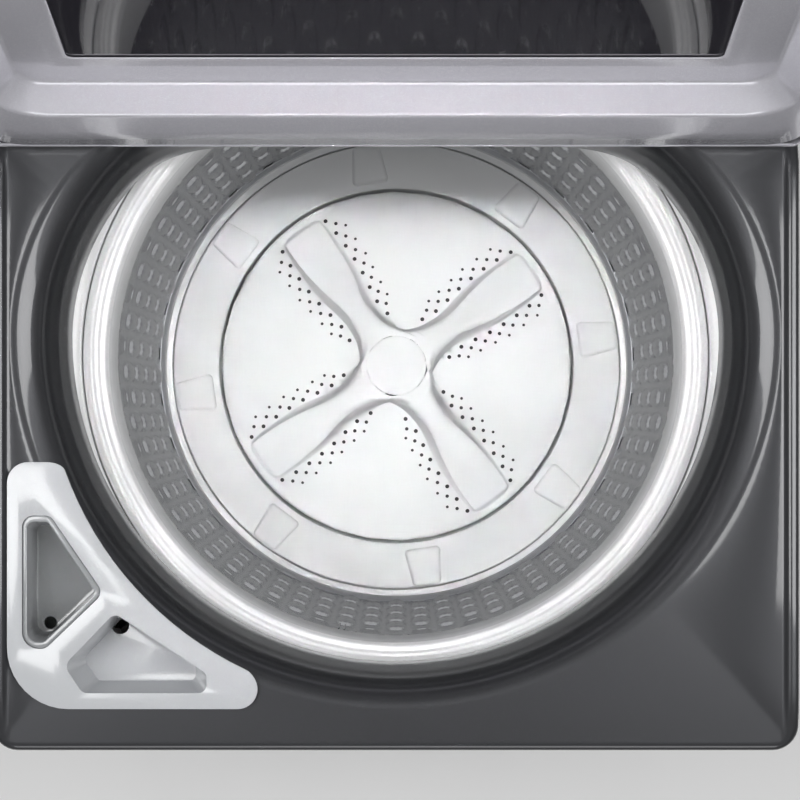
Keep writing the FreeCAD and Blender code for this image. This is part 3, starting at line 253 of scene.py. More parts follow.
def skin(loops, closed=True):
    """A skin through closed loops of points in millimetres, each loop extruded from the one before."""
    count = len(loops[0])
    nothing_selected()
    bpy.ops.mesh.primitive_circle_add(vertices=count, radius=1)
    piece = bpy.context.object
    bpy.ops.object.mode_set(mode="EDIT")
    bpy.context.tool_settings.mesh_select_mode = (True, False, False)
    bpy.ops.mesh.select_all(action="SELECT")
    row = list(range(count))
    for step, loop in enumerate(loops):
        if step:
            bpy.ops.mesh.extrude_region_move()
        work = bmesh.from_edit_mesh(piece.data)
        work.verts.index_update()
        work.verts.ensure_lookup_table()
        if step:
            rank = {old: i for i, old in enumerate(row)}
            ends = [(v.index, e.other_vert(v).index) for v in work.verts if v.select for e in v.link_edges]
            fresh = {rank[old]: new for new, old in ends if old in rank}
            row = [fresh[i] for i in range(count)]
        for i, point in zip(row, loop):
            work.verts[i].co = [c * MM for c in point]
        bmesh.update_edit_mesh(piece.data)
    return piece


def outline(corners, arc=6, side=0):
    """Points round a rounded outline of (x, y, radius) corners, with extra points along its sides."""
    points, n = [], len(corners)
    for i, (x, y, r) in enumerate(corners):
        px, py = corners[i - 1][0] - x, corners[i - 1][1] - y
        qx, qy = corners[(i + 1) % n][0] - x, corners[(i + 1) % n][1] - y
        lp, lq = math.hypot(px, py), math.hypot(qx, qy)
        px, py, qx, qy = px / lp, py / lp, qx / lq, qy / lq
        half = math.acos(max(-1, min(1, px * qx + py * qy))) / 2
        mx, my = px + qx, py + qy
        lm = math.hypot(mx, my)
        cx, cy = x + mx / lm * r / math.sin(half), y + my / lm * r / math.sin(half)
        reach = r / math.tan(half)
        start = math.atan2(y + py * reach - cy, x + px * reach - cx)
        end = math.atan2(y + qy * reach - cy, x + qx * reach - cx)
        swing = (end - start + math.pi) % (2 * math.pi) - math.pi
        for k in range(arc + 1):
            t = start + swing * k / arc
            points.append((cx + r * math.cos(t), cy + r * math.sin(t)))
        points += [None] * side
    for i, p in enumerate(points):
        if p is None:
            first = i
            while points[first - 1] is None:
                first -= 1
            last = i
            while points[(last + 1) % len(points)] is None:
                last += 1
            a, b = points[first - 1], points[(last + 1) % len(points)]
            t = 1.0 / (last - first + 2)
            points[i] = (a[0] + (b[0] - a[0]) * t, a[1] + (b[1] - a[1]) * t)
    return points


def wall_tile(column, low, high, relief, hole=None, centre=None, half=0):
    """One tile of the sheet: its border, the rings of its boss, and its round hole.

    half makes the left (-1) or the right (1) half of a tile, with its hole off the middle.
    """
    wide, mid = BASKET_R * math.tan(math.pi / COLUMNS), (low + high) / 2
    tall = (high - low) / 2
    rows = round((high - low) / (BOSS_PITCH / 6))
    left, right = (-wide, wide) if not half else sorted((0, half * wide))
    border = [(right, -tall + 2 * tall * i / rows) for i in range(rows + 1)] + ([] if half else [(0, tall)])
    border += [(left, tall - 2 * tall * i / rows) for i in range(rows + 1)] + ([] if half else [(0, -tall)])
    middle_x = half * 0.68 * wide
    turns = [math.atan2(z / tall, (x - (left + right) / 2) / (right - left)) for x, z in border]
    centre = mid if centre is None else centre
    rings = [[(x, -BASKET_R, mid + z) for x, z in border]]
    for across, along_, lift in relief + ([(hole, hole, relief[-1][2]), (hole, hole, relief[-1][2] - 0.9)] if hole else []):
        rings.append([(middle_x + across * math.cos(t), -BASKET_R + lift, centre + along_ * math.sin(t)) for t in turns])
    a = 2 * math.pi / COLUMNS * column
    c, s = math.cos(a), math.sin(a)
    piece = skin([[(x * c - y * s, x * s + y * c, z) for x, y, z in loop] for loop in rings])
    if not hole:
        bpy.ops.mesh.edge_face_add()
        bpy.ops.mesh.inset(thickness=0.4 * MM)
    bpy.ops.object.mode_set(mode="OBJECT")
    return piece


BOSS = [(11.8, 41.5, 0.0), (10.4, 40.4, 0.5), (8.6, 36.6, 2.3), (6.4, 34.6, 2.9), (2.6, 7.0, 3.2)]
tiles = [wall_tile(0, 346.75 + BOSS_PITCH * i, 346.75 + BOSS_PITCH * (i + 1), BOSS, 1.3) for i in range(4)]
tiles += [wall_tile(1, 390.5 + BOSS_PITCH * i, 390.5 + BOSS_PITCH * (i + 1), BOSS, 1.3) for i in range(3)]
tiles.append(wall_tile(1, 653.0, 740.5, [(6.5, 6.5, 0.0), (4.2, 4.2, -0.8)], 2.9, 689.0))
tiles.append(wall_tile(1, 346.75, 390.5, [(11.0, 12.0, 0.0), (9.5, 10.5, -1.5)], 7.5, 358.0))
tiles.append(wall_tile(1, 740.5, 755.08, [(8.0, 4.0, 0.0)]))
tiles += [wall_tile(0, 696.75, 755.08, [(4.1, 4.1, 0.0)], 3.5, 734.6, side) for side in (-1, 1)]
nothing_selected()
for tile in tiles:
    tile.select_set(True)
bpy.context.view_layer.objects.active = tiles[0]
bpy.ops.object.join()
bpy.ops.object.mode_set(mode="EDIT")
tidy_mesh()
bpy.ops.mesh.select_all(action="SELECT")
pairs = COLUMNS // 2
bpy.ops.mesh.spin(steps=pairs - 1, dupli=True, angle=2 * math.pi * (pairs - 1) / pairs, center=(0, 0, 0),
                  axis=(0, 0, 1))
tidy_mesh()
bpy.ops.object.mode_set(mode="OBJECT")
wall = done("embossed_wall", steel, "basket", "stainless", "basket_wall", angle=50.0)


def add_modifier(piece, kind, **settings):
    """Adds a modifier to a piece and applies it."""
    nothing_selected()
    piece.select_set(True)
    bpy.context.view_layer.objects.active = piece
    bpy.ops.object.modifier_add(type=kind)
    modifier = piece.modifiers[-1]
    for key, value in settings.items():
        setattr(modifier, key, value)
    bpy.ops.object.modifier_apply(modifier=modifier.name)


add_modifier(wall, "SOLIDIFY", thickness=0.8 * MM, offset=1.0)
# The mask is a painted highlight: the more a face tilts upwards, the nearer its colour goes to bright steel, on top of
# the sheet's own reflections.
highlight_layer = wall.data.color_attributes.new("painted_highlight", "FLOAT_COLOR", "CORNER")
for face in wall.data.polygons:
    highlight_share = max(0.0, min(1.0, (face.normal.z - 0.10) * 6))
    for corner in face.loop_indices:
        highlight_layer.data[corner].color = (highlight_share, highlight_share, highlight_share, 1)
turned([(265, 350, 0), (263.6, 350, 0.4), (262.2, 345, 1.5), (263.2, 342, 0.8), (261.6, 338, 1.2),
        (262.2, 335.6, 0.6), (260.6, 332.4, 0.8), (262, 331, 0.4), (265, 331, 0)])
done("wall_bead", plated, "basket", "stainless")
for turn in (-101.9, -100.7):
    a = math.radians(turn)
    nothing_selected()
    bpy.ops.mesh.primitive_cube_add(size=1, location=(263.6 * MM * math.cos(a), 263.6 * MM * math.sin(a), 0.545))
    bpy.ops.transform.resize(value=(1.2 * MM, 1.4 * MM, 0.388))
    bpy.ops.object.mode_set(mode="EDIT")
    bpy.ops.mesh.bevel(offset=0.4 * MM, segments=2)
    bpy.ops.object.mode_set(mode="OBJECT")
    done("weld_line_%d" % round(-turn * 10), steel, "basket", "stainless")

# ---- basket floor -------------------------------------------------------------------------
# A white moulded floor closes the basket. Its ring slopes down to the wash plate and carries
# eight low trapezoid pads.
turned([(262.4, 322, 0), (262.4, 330.4, 0.6), (260.9, 330.8, 0.6), (260.6, 320.6, 0.8), (254.0, 318.6, 0.8),
        (253.4, 313.4, 0.3)])
done("floor_rim", gloss_white, "basket", "white_plastic")
turned([(199.0, 288, 0), (204.5, 304, 0), (252, 310, 0), (253.2, 311.4, 0.3), (252.6, 314.0, 0.3), (252.2, 315.6, 0.5),
        (203, 310.2, 1.2), (201.5, 309, 0.5), (201.5, 288, 0)])
done("basket_floor", white, "basket", "white_plastic", "basket_base")
# The hub below the wash plate takes the motor's dark varnish as painted shade, so the drain holes above it read dark.
turned([(21.5, 262, 0), (60, 262, 0), (76, 286, 3), (195.5, 287, 0), (198.9, 288, 0), (198.9, 290, 0), (21.5, 290, 0)])
done("basket_hub", varnish_and_hub_shade, "basket", "cast")
PAD = [(208.5, -21.0, 4.0), (251.0, -15.5, 4.0), (251.0, 15.5, 4.0), (208.5, 21.0, 4.0)]
for k in range(8):
    a = math.radians(8 + 45 * k)
    loops = []
    for inset, lift in ((0.0, -1.5), (0.0, 0.2), (0.7, 1.3), (1.9, 2.3), (3.4, 2.8), (6.0, 3.0)):
        loop = []
        for u, v in outline([(208.5 + inset, -21.0 + inset * 1.1, max(1, 5 - inset)),
                             (251.0 - inset, -15.5 + inset * 0.9, max(1, 5 - inset)),
                             (251.0 - inset, 15.5 - inset * 0.9, max(1, 5 - inset)),
                             (208.5 + inset, 21.0 - inset * 1.1, max(1, 5 - inset))], arc=5, side=3):
            ground = 310.2 + (u - 203.0) * 0.11
            rise = lift * (1.25 - (u - 208.5) / 42.5 * 0.5) if lift > 0 else lift
            loop.append((u * math.cos(a) - v * math.sin(a), u * math.sin(a) + v * math.cos(a), ground + rise))
        loops.append(loop)
    skin(loops)
    bpy.ops.mesh.edge_face_add()
    bpy.ops.mesh.select_all(action="SELECT")
    bpy.ops.mesh.region_to_loop()
    bpy.ops.mesh.edge_face_add()
    tidy_mesh()
    done("floor_pad_%d" % (k + 1), white, "basket", "white_plastic", angle=60.0)

# ---- balance ring -------------------------------------------------------------------------
# A hollow white ring, filled with brine and welded shut, snapped over the top of the wall.
turned([(263.9, 741, 0.4), (265, 741, 0.3), (265, 752, 0), (266.3, 752, 0), (268, 746, 1), (281, 756, 3),
        (287.1, 764, 3), (287.1, 817, 2), (283.5, 821, 2.5), (278.5, 823, 2), (276.3, 818.6, 1.2),
        (273.6, 817.6, 0.8), (271.6, 813.5, 1), (267.4, 812.5, 2), (265.6, 806, 2.5), (264.8, 803, 1.5), (264.1, 790, 3)])
done("balancer", gloss_white, "basket", "white_plastic", "balance_ring")

# ---- wash plate ---------------------------------------------------------------------------
# The agitator is a low moulded disc with four tapering arms that flare into a hub. Rows of
# drain holes run beside each arm, and a snap-in cap hides the bolt.
PLATE_Z = 310.0
ARM_TURN = 35.5
ARM_TOP = [(30, 60.0), (36, 56.0), (38.4, 50.0), (39.2, 43.0), (41, 34.0), (44, 26.0), (48, 19.8), (53, 15.4), (60, 12.0),
           (70, 9.2), (85, 7.9),
           (114, 8.9), (145, 8.9), (165, 8.2), (184, 7.1), (187, 6.2), (189, 4.6), (192, 3.5)]
ARM_FOOT = [(30, 75.0), (38, 66.0), (41.2, 54.0), (42, 45.0), (43.6, 38.5), (46.4, 32.5), (50, 27.5), (54, 23.6), (60, 20.2),
            (70, 16.4), (85, 14.3),
            (114, 13.7), (145, 11.3), (165, 9.9), (184, 8.4), (187, 7.7), (189, 6.6), (192, 6.0)]
ARM_HEIGHT = [(30, 30.0), (48, 29.5), (60, 27.5), (85, 22.0), (114, 15.5), (145, 10.5), (170, 7.0), (184.5, 5.4),
              (186.5, 4.6), (188, 2.8), (189.5, 0.9), (191, 0.0), (210, 0.0)]


def along(table, x):
    """Reads a smooth curve through a table of (place, value) rows."""
    if x <= table[0][0]:
        return table[0][1]
    if x >= table[-1][0]:
        return table[-1][1]
    k = max(i for i in range(len(table) - 1) if table[i][0] <= x)
    (x0, y0), (x1, y1) = table[k], table[k + 1]
    before, after = table[max(0, k - 1)], table[min(len(table) - 1, k + 2)]
    wide = x1 - x0
    m0 = (y1 - before[1]) / (x1 - before[0]) * wide
    m1 = (after[1] - y0) / (after[0] - x0) * wide
    t = (x - x0) / wide
    return (y0 * (2 * t ** 3 - 3 * t ** 2 + 1) + m0 * (t ** 3 - 2 * t ** 2 + t) + y1 * (3 * t ** 2 - 2 * t ** 3)
            + m1 * (t ** 3 - t ** 2))


def plate_floor(r):
    """Height of the disc between its arms: slightly dished, with a rolled rim."""
    return PLATE_Z - 7.0 * max(0.0, (195.0 - r) / 135.0) ** 1.3 if r < 195 else PLATE_Z


SIDE = [(0.0, 1.0), (0.1, 0.93), (0.3, 0.66), (0.55, 0.34), (0.8, 0.1), (1.0, 0.0)]
ACROSS = [("top", 0.4), ("top", 0.78), ("top", 0.94), ("side", 0.0), ("side", 0.12), ("side", 0.3), ("side", 0.5),
          ("side", 0.72), ("side", 0.9), ("side", 1.0), ("floor", 0.3), ("floor", 0.65)]


def half_arm(r):
    """Angle and height of each point from an arm's centre line to the valley beside it."""
    top, foot = along(ARM_TOP, r), along(ARM_FOOT, r)
    tall, low = along(ARM_HEIGHT, r), plate_floor(r)
    high = PLATE_Z + tall if tall > 0 else low
    points = [(0.0, max(high, low))]
    for zone, part in ACROSS:
        if zone == "top":
            a, h = top * part, 1.0 - (0.05 if part > 0.9 else 0.0) * min(1.0, tall / 8)
        elif zone == "side":
            a, h = top + (foot - top) * part, along(SIDE, part) * (0.93 if part == 0.0 else 1.0)
        else:
            a, h = foot + (45 - foot) * part, 0.0
        if a > 45.0:
            a = 45.0
            h = along(SIDE, (45.0 - top) / (foot - top)) if top < 45 else 1.0
        points.append((a, low + (high - low) * h))
    last = 0.0 if foot <= 45 else (along(SIDE, (45.0 - top) / (foot - top)) if top < 45 else 1.0)
    return points + [(45.0, low + (high - low) * last)]


def plate_loop(r, drop=0.0):
    """The plate's surface once round at one radius, following all four arms."""
    half = half_arm(r)
    points = []
    for arm in range(4):
        middle = ARM_TURN + 90 * arm
        for a, z in half:
            points.append((middle + a, z))
        for a, z in reversed(half[1:-1]):
            points.append((middle + 90 - a, z))
    return [(r * math.cos(math.radians(a)), r * math.sin(math.radians(a)), z - drop) for a, z in points]


radii = [31.7, 34, 36, 37.5, 39, 40, 41, 42, 43.2, 44.6, 46.4, 48.5, 51, 54, 58, 63, 69, 76, 84, 93, 103, 114, 125,
         136, 147, 158, 168, 176, 181, 184, 185.5, 187, 188, 189, 190, 191.2, 193, 195.5]
count = len(plate_loop(100))
rim = [[(r * x / 100, r * y / 100, z) for x, y, _ in plate_loop(100)]
       for r, z in ((197.0, PLATE_Z - 0.3), (198.1, PLATE_Z - 1.2), (198.5, PLATE_Z - 2.6), (198.5, PLATE_Z - 13))]
hub = [[(31.7 * x / 100, 31.7 * y / 100, z) for x, y, _ in plate_loop(100)] for z in (PLATE_Z + 24, PLATE_Z + 29.4)]
plate = skin(hub + [plate_loop(r) for r in radii[1:]] + rim)
bpy.ops.mesh.select_all(action="SELECT")
bpy.ops.mesh.remove_doubles(threshold=0.00002)
bpy.ops.mesh.normals_make_consistent(inside=False)
bpy.ops.object.mode_set(mode="OBJECT")
add_modifier(plate, "SOLIDIFY", thickness=2.4 * MM, offset=-1.0)

bpy.ops.object.shade_smooth_by_angle(angle=math.radians(42))
plain = plate.copy()
plain.data = plate.data.copy()
bpy.context.scene.collection.objects.link(plain)
nothing_selected()
bpy.ops.mesh.primitive_cylinder_add(vertices=12, radius=0.001, depth=0.03, location=(0, 0, 0.5))
drill = bpy.context.object
bpy.ops.object.mode_set(mode="EDIT")
HOLE_ROWS = [(2.35, [(181, 30), (163, 32), (145, 32.5), (127, 32), (109, 30.5), (91, 27.5), (73, 25), (55, 26.5)]),
             (2.05, [(172, 38), (154, 39), (135, 39), (117, 38), (99, 35.5), (81.5, 32.5), (65, 32)]),
             (1.7, [(164, 46), (145, 46), (125, 46), (107.5, 43.5), (88.5, 41), (73, 39)])]
for arm in range(4):
    a = math.radians(ARM_TURN + 90 * arm)
    for hole_r, row in HOLE_ROWS:
        for u, v in row:
            for side in (-1, 1):
                x = u * math.cos(a) - side * v * math.sin(a)
                y = u * math.sin(a) + side * v * math.cos(a)
                bpy.ops.mesh.primitive_cylinder_add(vertices=10, radius=hole_r * MM, depth=0.03,
                                                    location=(x * MM, y * MM, (PLATE_Z - 2) * MM))
pick(lambda v: v.co.z > 0.4)
bpy.ops.mesh.delete(type="VERT")
bpy.ops.object.mode_set(mode="OBJECT")
nothing_selected()
bpy.context.view_layer.objects.active = plate
add_modifier(plate, "BOOLEAN", operation="DIFFERENCE", object=drill, solver="EXACT")
bpy.data.objects.remove(drill)
plate.select_set(True)
bpy.context.view_layer.objects.active = plate
done("wash_plate_disc", white, "agitator", "white_plastic", "wash_plate", angle=42.0)
add_modifier(plate, "DATA_TRANSFER", object=plain, use_loop_data=True, data_types_loops={"CUSTOM_NORMAL"},
             loop_mapping="POLYINTERP_NEAREST")
bpy.data.objects.remove(plain)

turned([(0, 334.5, 0), (31.0, 334.5, 0.3), (31.0, 340.3, 0.2), (33.2, 340.3, 0.2), (33.2, 341.0, 0.4),
        (28, 341.3, 2), (12, 341.5, 2), (0, 341.6, 0)], steps=64)
done("hub_cap", white, "agitator", "white_plastic", "centre_cap")

# ---- top deck -----------------------------------------------------------------------------
# A painted steel pressing. Its D-shaped opening is rolled down into a deep wall over the tub,
# and a low rounded rim stands along each side.
DECK_Z = 940.0
OPEN_Y = 15.0
OPEN_REAR = 189.5
# height under the deck, half width, reach to the front and reach to the rear
LIP = [(-90, 292.5, 292.5, 237.0), (-88, 291.6, 291.6, 236.2), (-60, 293.2, 293.0, 238.0),
       (-56, 295.4, 294.6, 240.0), (-40, 296.6, 295.6, 241.0), (-36, 299.0, 297.4, 243.0),
       (-25, 302.0, 299.0, 245.6), (-17, 306.0, 301.6, 248.6), (-10, 311.6, 305.4, 253.0),
       (-5, 317.5, 310.2, 258.0), (-1.8, 324.0, 315.4, 263.4), (-0.5, 328.2, 319.0, 267.0), (0, 332.0, 322.5, 271.0), (0, 333.6, 324.5, 273.0)]


SIDE_X, FRONT_Y, BACK_Y = 349.0, -345.0, 342.5


def deck_edge(inset):
    """The deck's outline, moved inwards."""
    x, back, front, r = SIDE_X - inset, BACK_Y - inset, FRONT_Y + inset, max(3.0, 22 - inset)
    return outline([(x, back, r), (-x, back, r), (-x, front, r), (x, front, r)], arc=8, side=44)


bearings_round = [math.atan2(y - OPEN_Y, x) for x, y in deck_edge(0.0)]


def mouth(level):
    """The opening's outline at one level, cut off flat behind with rounded corners."""
    drop, half, front, rear = level
    points = []
    for a in bearings_round:
        c, s = math.cos(a), math.sin(a)
        reach = 1 / math.hypot(c / half, s / (rear if s > 0 else front))
        if s > 0.02:
            flat = (OPEN_REAR + max(0.0, 14.0 + drop * 0.4) * 0.3 - OPEN_Y) / s
            reach = (reach ** -16 + flat ** -16) ** (-1 / 16)
        points.append((reach * c, OPEN_Y + reach * s, DECK_Z + drop))
    return points


def soft_step(x, low, high):
    t = max(0.0, min(1.0, (x - low) / (high - low)))
    return t * t * (3 - 2 * t)


def deck_level(x, y, inset):
    """Height of the deck's top near its edge, with the raised side rims."""
    side = soft_step(abs(x), 334.0, 341.0) * soft_step(y, -345.0, -300.0) * (1 - soft_step(y, 166.0, 182.0))
    roll = max(0.0, 6.0 - inset)
    return DECK_Z + 6.0 * side - (6.0 - math.sqrt(max(0.0, 36.0 - roll * roll)))


loops = [mouth(level) for level in LIP]
for inset in (15.0, 13.0, 11.0, 9.5, 8.0, 5.5, 3.2, 1.4, 0.3):
    loops.append([(x, y, deck_level(x, y, inset)) for x, y in deck_edge(inset)])
loops.append([(x, y, DECK_Z - 8) for x, y in deck_edge(0.0)])
loops.append([(x, y, 918.6) for x, y in deck_edge(0.0)])
deck = skin(loops)
tidy_mesh()
bpy.ops.object.mode_set(mode="OBJECT")
if sum(face.normal.z * face.area for face in deck.data.polygons) < 0:
    bpy.ops.object.mode_set(mode="EDIT")
    bpy.ops.mesh.select_all(action="SELECT")
    bpy.ops.mesh.flip_normals()
    bpy.ops.object.mode_set(mode="OBJECT")
add_modifier(deck, "SOLIDIFY", thickness=1.6 * MM, offset=-1.0)
TRAY = [(-335, -308, 53), (-119, -308, 17), (-119, -200, 10), (-200, -95, 10), (-335, -95, 18)]


def prism(corners, low, high, arc=6, shrink=1.0, middle=(0, 0)):
    """A closed prism on a rounded outline; shrink narrows its foot towards a middle point."""
    top = outline(corners, arc)
    foot = [(middle[0] + (x - middle[0]) * shrink, middle[1] + (y - middle[1]) * shrink) for x, y in top]
    skin([[(x, y, low) for x, y in foot], [(x, y, high) for x, y in top]])
    bpy.ops.mesh.edge_face_add()
    pick(lambda v: abs(v.co.z - low * MM) < 1e-6)
    bpy.ops.mesh.edge_face_add()
    tidy_mesh()
    bpy.ops.object.mode_set(mode="OBJECT")
    return bpy.context.object


def carve(piece, *tools, how="DIFFERENCE"):
    """Cuts tools out of a piece, or joins them to it, and removes them."""
    for tool in tools:
        add_modifier(piece, "BOOLEAN", operation=how, object=tool, solver="EXACT")
        bpy.data.objects.remove(tool)


def post(r, low, high, x=0.0, y=0.0, steps=128):
    nothing_selected()
    bpy.ops.mesh.primitive_cylinder_add(vertices=steps, radius=r * MM, depth=(high - low) * MM,
                                        location=(x * MM, y * MM, (low + high) / 2 * MM))
    bpy.ops.object.transform_apply(location=True)
    return bpy.context.object


def well(shrink, hollow, low, high):
    """The tray's corner shape, with its hollow side round the opening."""
    s = shrink
    block = prism([(-335 + s, -308 + s, 53 - s), (-119 - s, -308 + s, 17), (-119 - s, -200, 10), (-200, -95 - s, 10),
                   (-335 + s, -95 - s, 18)], low, high, arc=10)
    carve(block, post(hollow, low - 5, high + 5))
    ends = [(-119 - s, -math.sqrt(hollow ** 2 - (119 + s) ** 2)), (-math.sqrt(hollow ** 2 - (95 + s) ** 2), -95 - s)]
    nothing_selected()
    block.select_set(True)
    bpy.context.view_layer.objects.active = block
    bpy.ops.object.mode_set(mode="EDIT")
    pick(lambda e: any(all(math.hypot(v.co.x / MM - x, v.co.y / MM - y) < 1.5 for v in e.verts) for x, y in ends)
         and abs(e.verts[0].co.z - e.verts[1].co.z) > MM, "edges")
    bpy.ops.mesh.bevel(offset=13 * MM, segments=8)
    bpy.ops.object.mode_set(mode="OBJECT")
    return block


carve(deck, well(5.0, 317.0, 900, 980))
nothing_selected()
deck.select_set(True)
bpy.context.view_layer.objects.active = deck
done("pressed_deck", enamel, "cabinet", "deck_paint", "top_deck", angle=35.0)

# ---- dispenser ----------------------------------------------------------------------------
# A white moulded tray is let into the front left corner of the deck. It holds a smoked cup for
# bleach and has a sloping basin for detergent, each with its own drain.
# The tray is white plastic; the mid grey given here, darker than the other white mouldings, is painted shade that
# keeps it darker than the lit basket.
tray_white_painted_shade = finish("tray_white_painted_shade", (0.40, 0.41, 0.425), 0.16, coat=0.3, shade=0.02, patch=8.0, wear=0.03, grain=60.0)
smoke = finish("smoked_plastic", (0.26, 0.268, 0.275), 0.12, coat=0.6, shade=0.08, patch=12.0, wear=0.03, grain=80.0)
CUP = [(-322.5, -141, 10), (-322.5, -256, 14), (-302, -256, 10), (-252, -208, 9), (-298, -141, 9)]
BASIN = [(-242, -222, 9), (-290, -272, 12), (-272, -297, 10), (-160, -297, 9), (-160, -276, 9)]
tray = well(0.0, 303.0, 940.2, 944.5)
carve(tray, prism(BASIN, 894, 944.0, shrink=0.93, middle=(-225, -265)), how="UNION")
carve(tray, prism([(x, y, max(2, r - 2)) for x, y, r in
                   [(-242.5, -225, 9), (-286.5, -270.5, 12), (-270, -294.5, 10), (-162.5, -294.5, 9), (-162.5, -277.5, 9)]],
                  897, 946, shrink=0.80, middle=(-232, -266)),
      prism([(x * 0.999, y, r) for x, y, r in CUP], 930, 950), post(8, 880, 900, -243, -240, 32))
add_modifier(tray, "BEVEL", width=1.8 * MM, segments=4, limit_method="ANGLE", angle_limit=0.6)
done("corner_tray", tray_white_painted_shade, "cabinet", "tray_plastic", "dispenser_tray", angle=35.0)
cup = prism([(x + 0.4 * (1 if x < -300 else -1), y, r) for x, y, r in CUP], 892, 941.5, shrink=0.96, middle=(-300, -200))
carve(cup, prism([(-318.5, -146, 6), (-318.5, -251, 10), (-304, -251, 6), (-258.5, -208, 5), (-300.5, -146, 5)], 895, 945,
                 shrink=0.9, middle=(-300, -205)), post(5.5, 880, 900, -305, -238, 24))
add_modifier(cup, "BEVEL", width=1.0 * MM, segments=3, limit_method="ANGLE", angle_limit=0.6)
done("smoked_cup", smoke, "cabinet", "smoked_plastic", "bleach_cup", angle=35.0)

# ---- console ------------------------------------------------------------------------------
# A moulded console stands behind the lid. Its sloping front carries a dark panel with the
# cycle knob, three buttons and a display, and the board and the water valve are inside.
panel_black = finish("panel_black", (0.012, 0.012, 0.014), 0.08, coat=1.0, shade=0.2, patch=4.0, wear=0.02, grain=40.0)
satin = finish("satin_metal", (0.62, 0.63, 0.65), 0.22, 1.0, shade=0.05, patch=30.0, wear=0.08, grain=900.0)
keys = finish("key_plastic", (0.42, 0.43, 0.45), 0.30, coat=0.2, shade=0.03, grain=800.0)
laminate = finish("board_laminate", (0.03, 0.16, 0.07), 0.35, coat=0.3, shade=0.2, patch=120.0, grain=900.0)
dress(enamel, "console_housing")
dress(panel_black, "console_fascia", "display_window")
dress(satin, "cycle_knob")
dress(keys, "option_button_1", "option_button_2", "start_button")
dress(laminate, "control_board")
dress(nylon, "water_valve")

# ---- pump and hoses -----------------------------------------------------------------------
# The pump stands on the base frame under the tub's sump. Rubber hoses join the sump, the pump
# and the outlet in the rear panel, and one brings water from the valve to the fill nozzle.
black_plastic = finish("black_moulding", (0.03, 0.03, 0.032), 0.42, grain=800.0, bump=0.0001)
dress(black_plastic, "drain_pump", "drain_fitting", "power_gland", "fill_nozzle")
dress(rubber, "sump_hose", "drain_hose", "fill_hose")
dress(nylon, "pump_impeller")

# ---- lid ----------------------------------------------------------------------------------
# Two painted pressings with a tinted pane between them. It turns on two pins held by steel
# arms on the deck, and its lock's bolt slides through a strike under the front edge.
# The lid has the deck's dark enamel; the light purplish grey given here is painted sheen, standing in for the light
# its glossy faces reflect.
lid_sheen_grey = finish("lid_enamel_and_painted_sheen", (0.56, 0.553, 0.60), 0.26, 0.35, coat=0.8, coat_rough=0.06, shade=0.03, patch=3.0,
                  grain=2500.0, bump=0.00002)
bright = finish("bright_trim", (0.72, 0.73, 0.75), 0.10, 1.0, shade=0.03, wear=0.03)
pane = finish("tinted_glass", (0.030, 0.028, 0.036), 0.03, coat=0.5, shade=0.1, patch=2.0, wear=0.01, grain=20.0)
pane.node_tree.nodes["Principled BSDF"].inputs["Transmission Weight"].default_value = 0.35
dress(lid_sheen_grey, "lid_shell")
HINGE = (191.5, 968.0)
LID_TURN = math.radians(-104)
PAN_Z = 951.0


def opened(points):
    """Turns points of the closed lid back about the hinge, to its open place."""
    c, s = math.cos(LID_TURN), math.sin(LID_TURN)
    return [(x, HINGE[0] + (y - HINGE[0]) * c - (z - HINGE[1]) * s, HINGE[1] + (y - HINGE[0]) * s + (z - HINGE[1]) * c)
            for x, y, z in points]


def pan_loop(inset, z):
    """The pan at one depth: negative insets lie on the border outside the recess."""
    x, front, back = 326 - inset, -296 + inset, 123 - inset
    r = max(6.0, 45 - inset)
    if inset < 0:
        share = -inset / 17.0
        x, front, back = 326 + 17 * share, -296 - 21 * share, 123 + 68.5 * share
        r = 45 - 14 * share
    corners = [(x, front, r), (x, back, r), (-x, back, r), (-x, front, r)]
    return opened([(px, py, z) for px, py in outline(corners, arc=10, side=8)])


pan = skin([pan_loop(-17, PAN_Z + 3), pan_loop(-16.9, PAN_Z + 0.8), pan_loop(-16.6, PAN_Z), pan_loop(-9, PAN_Z),
            pan_loop(-1.2, PAN_Z), pan_loop(-0.2, PAN_Z + 0.4), pan_loop(0.7, PAN_Z + 1.4), pan_loop(1.6, PAN_Z + 3),
            pan_loop(15, PAN_Z + 19.5), pan_loop(16.4, PAN_Z + 21.6), pan_loop(18.4, PAN_Z + 22.9),
            pan_loop(21, PAN_Z + 23.3), pan_loop(45, PAN_Z + 23.6), pan_loop(60, PAN_Z + 23.6),
            pan_loop(63.4, PAN_Z + 24), pan_loop(64, PAN_Z + 25)])
tidy_mesh()
bpy.ops.object.mode_set(mode="OBJECT")
if sum(face.normal.y * face.area for face in pan.data.polygons) > 0:
    bpy.ops.object.mode_set(mode="EDIT")
    bpy.ops.mesh.select_all(action="SELECT")
    bpy.ops.mesh.flip_normals()
    bpy.ops.object.mode_set(mode="OBJECT")
add_modifier(pan, "SOLIDIFY", thickness=1.0 * MM, offset=-1.0)
done("lid_pan", lid_sheen_grey, "lid", "lid_paint", "lid_inner_pan", angle=35.0)
dress(pane, "lid_glass")
dress(bright, "lid_handle")
dress(plated, "lid_strike", "hinge_pins", "hinge_arms", "lock_bolt")
dress(rubber, "lid_bumpers")
dress(black_plastic, "lid_lock_housing")

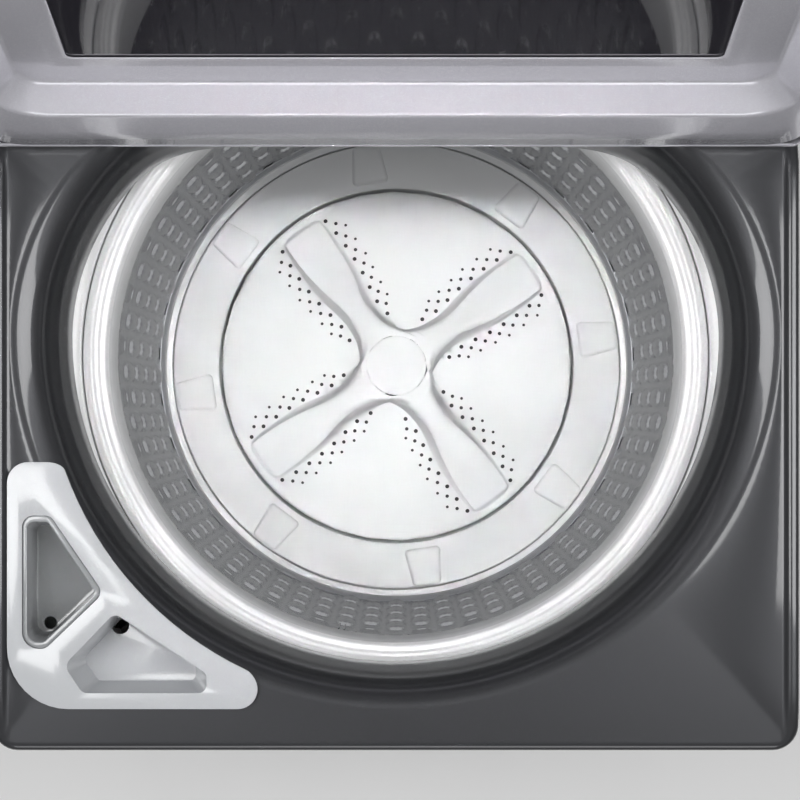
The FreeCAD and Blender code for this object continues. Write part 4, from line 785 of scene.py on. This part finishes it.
# ---- studio -------------------------------------------------------------------------------
# A plain pale floor under the machine, a long soft light at each side above it, and a camera
# that looks straight down into the basket.
nothing_selected()
bpy.ops.mesh.primitive_plane_add(size=14, location=(0, 0, 0))
floor = bpy.context.object
floor.name = "studio_floor"
floor.data.materials.append(finish("pale_floor", (0.78, 0.78, 0.78), 0.6, shade=0.008, wear=0.01, grain=30.0))
sky = bpy.data.worlds.new("studio")
bpy.context.scene.world = sky
sky.use_nodes = True
sky.node_tree.nodes["Background"].inputs["Color"].default_value = (1, 1, 1, 1)
sky.node_tree.nodes["Background"].inputs["Strength"].default_value = 0.13


def soft_light(name, place, aim, wide, high, power):
    lamp = bpy.data.lights.new(name, "AREA")
    lamp.shape = "RECTANGLE"
    lamp.size, lamp.size_y, lamp.energy = wide, high, power
    thing = bpy.data.objects.new(name, lamp)
    bpy.context.scene.collection.objects.link(thing)
    away = [p - a for p, a in zip(place, aim)]
    flat = math.hypot(away[0], away[1])
    thing.location = place
    thing.rotation_euler = (math.atan2(flat, away[2]), 0, math.atan2(away[0], -away[1]) if flat > 1e-6 else 0)
    return thing


soft_light("light_left", (-1.5, -0.05, 3.0), (-0.1, -0.05, 0.9), 0.8, 2.2, 42)
soft_light("light_right", (1.5, -0.05, 3.0), (0.1, -0.05, 0.9), 0.8, 2.2, 42)
soft_light("light_front", (0, -2.6, 2.5), (0, 0, 0.9), 2.2, 1.0, 20)
light_back = soft_light("light_back", (0, 1.0, 3.4), (0, -0.25, 0.8), 1.4, 0.5, 9)
light_back.visible_glossy = False
gridded = soft_light("light_basket", (0, -0.01, 4.4), (0, -0.01, 0), 0.60, 0.60, 0.62)
gridded.data.shape = "DISK"
gridded.data.spread = math.radians(6)
gridded.visible_glossy = False
bpy.context.scene.view_settings.view_transform = "Standard"

eye = bpy.data.cameras.new("camera")
camera = bpy.data.objects.new("camera", eye)
bpy.context.scene.collection.objects.link(camera)
camera.location = (0.004, -0.050, 2.940)
eye.sensor_width = 36.0
eye.lens = 104.1
eye.shift_y = 0.0125
eye.clip_end = 50.0
bpy.context.scene.camera = camera
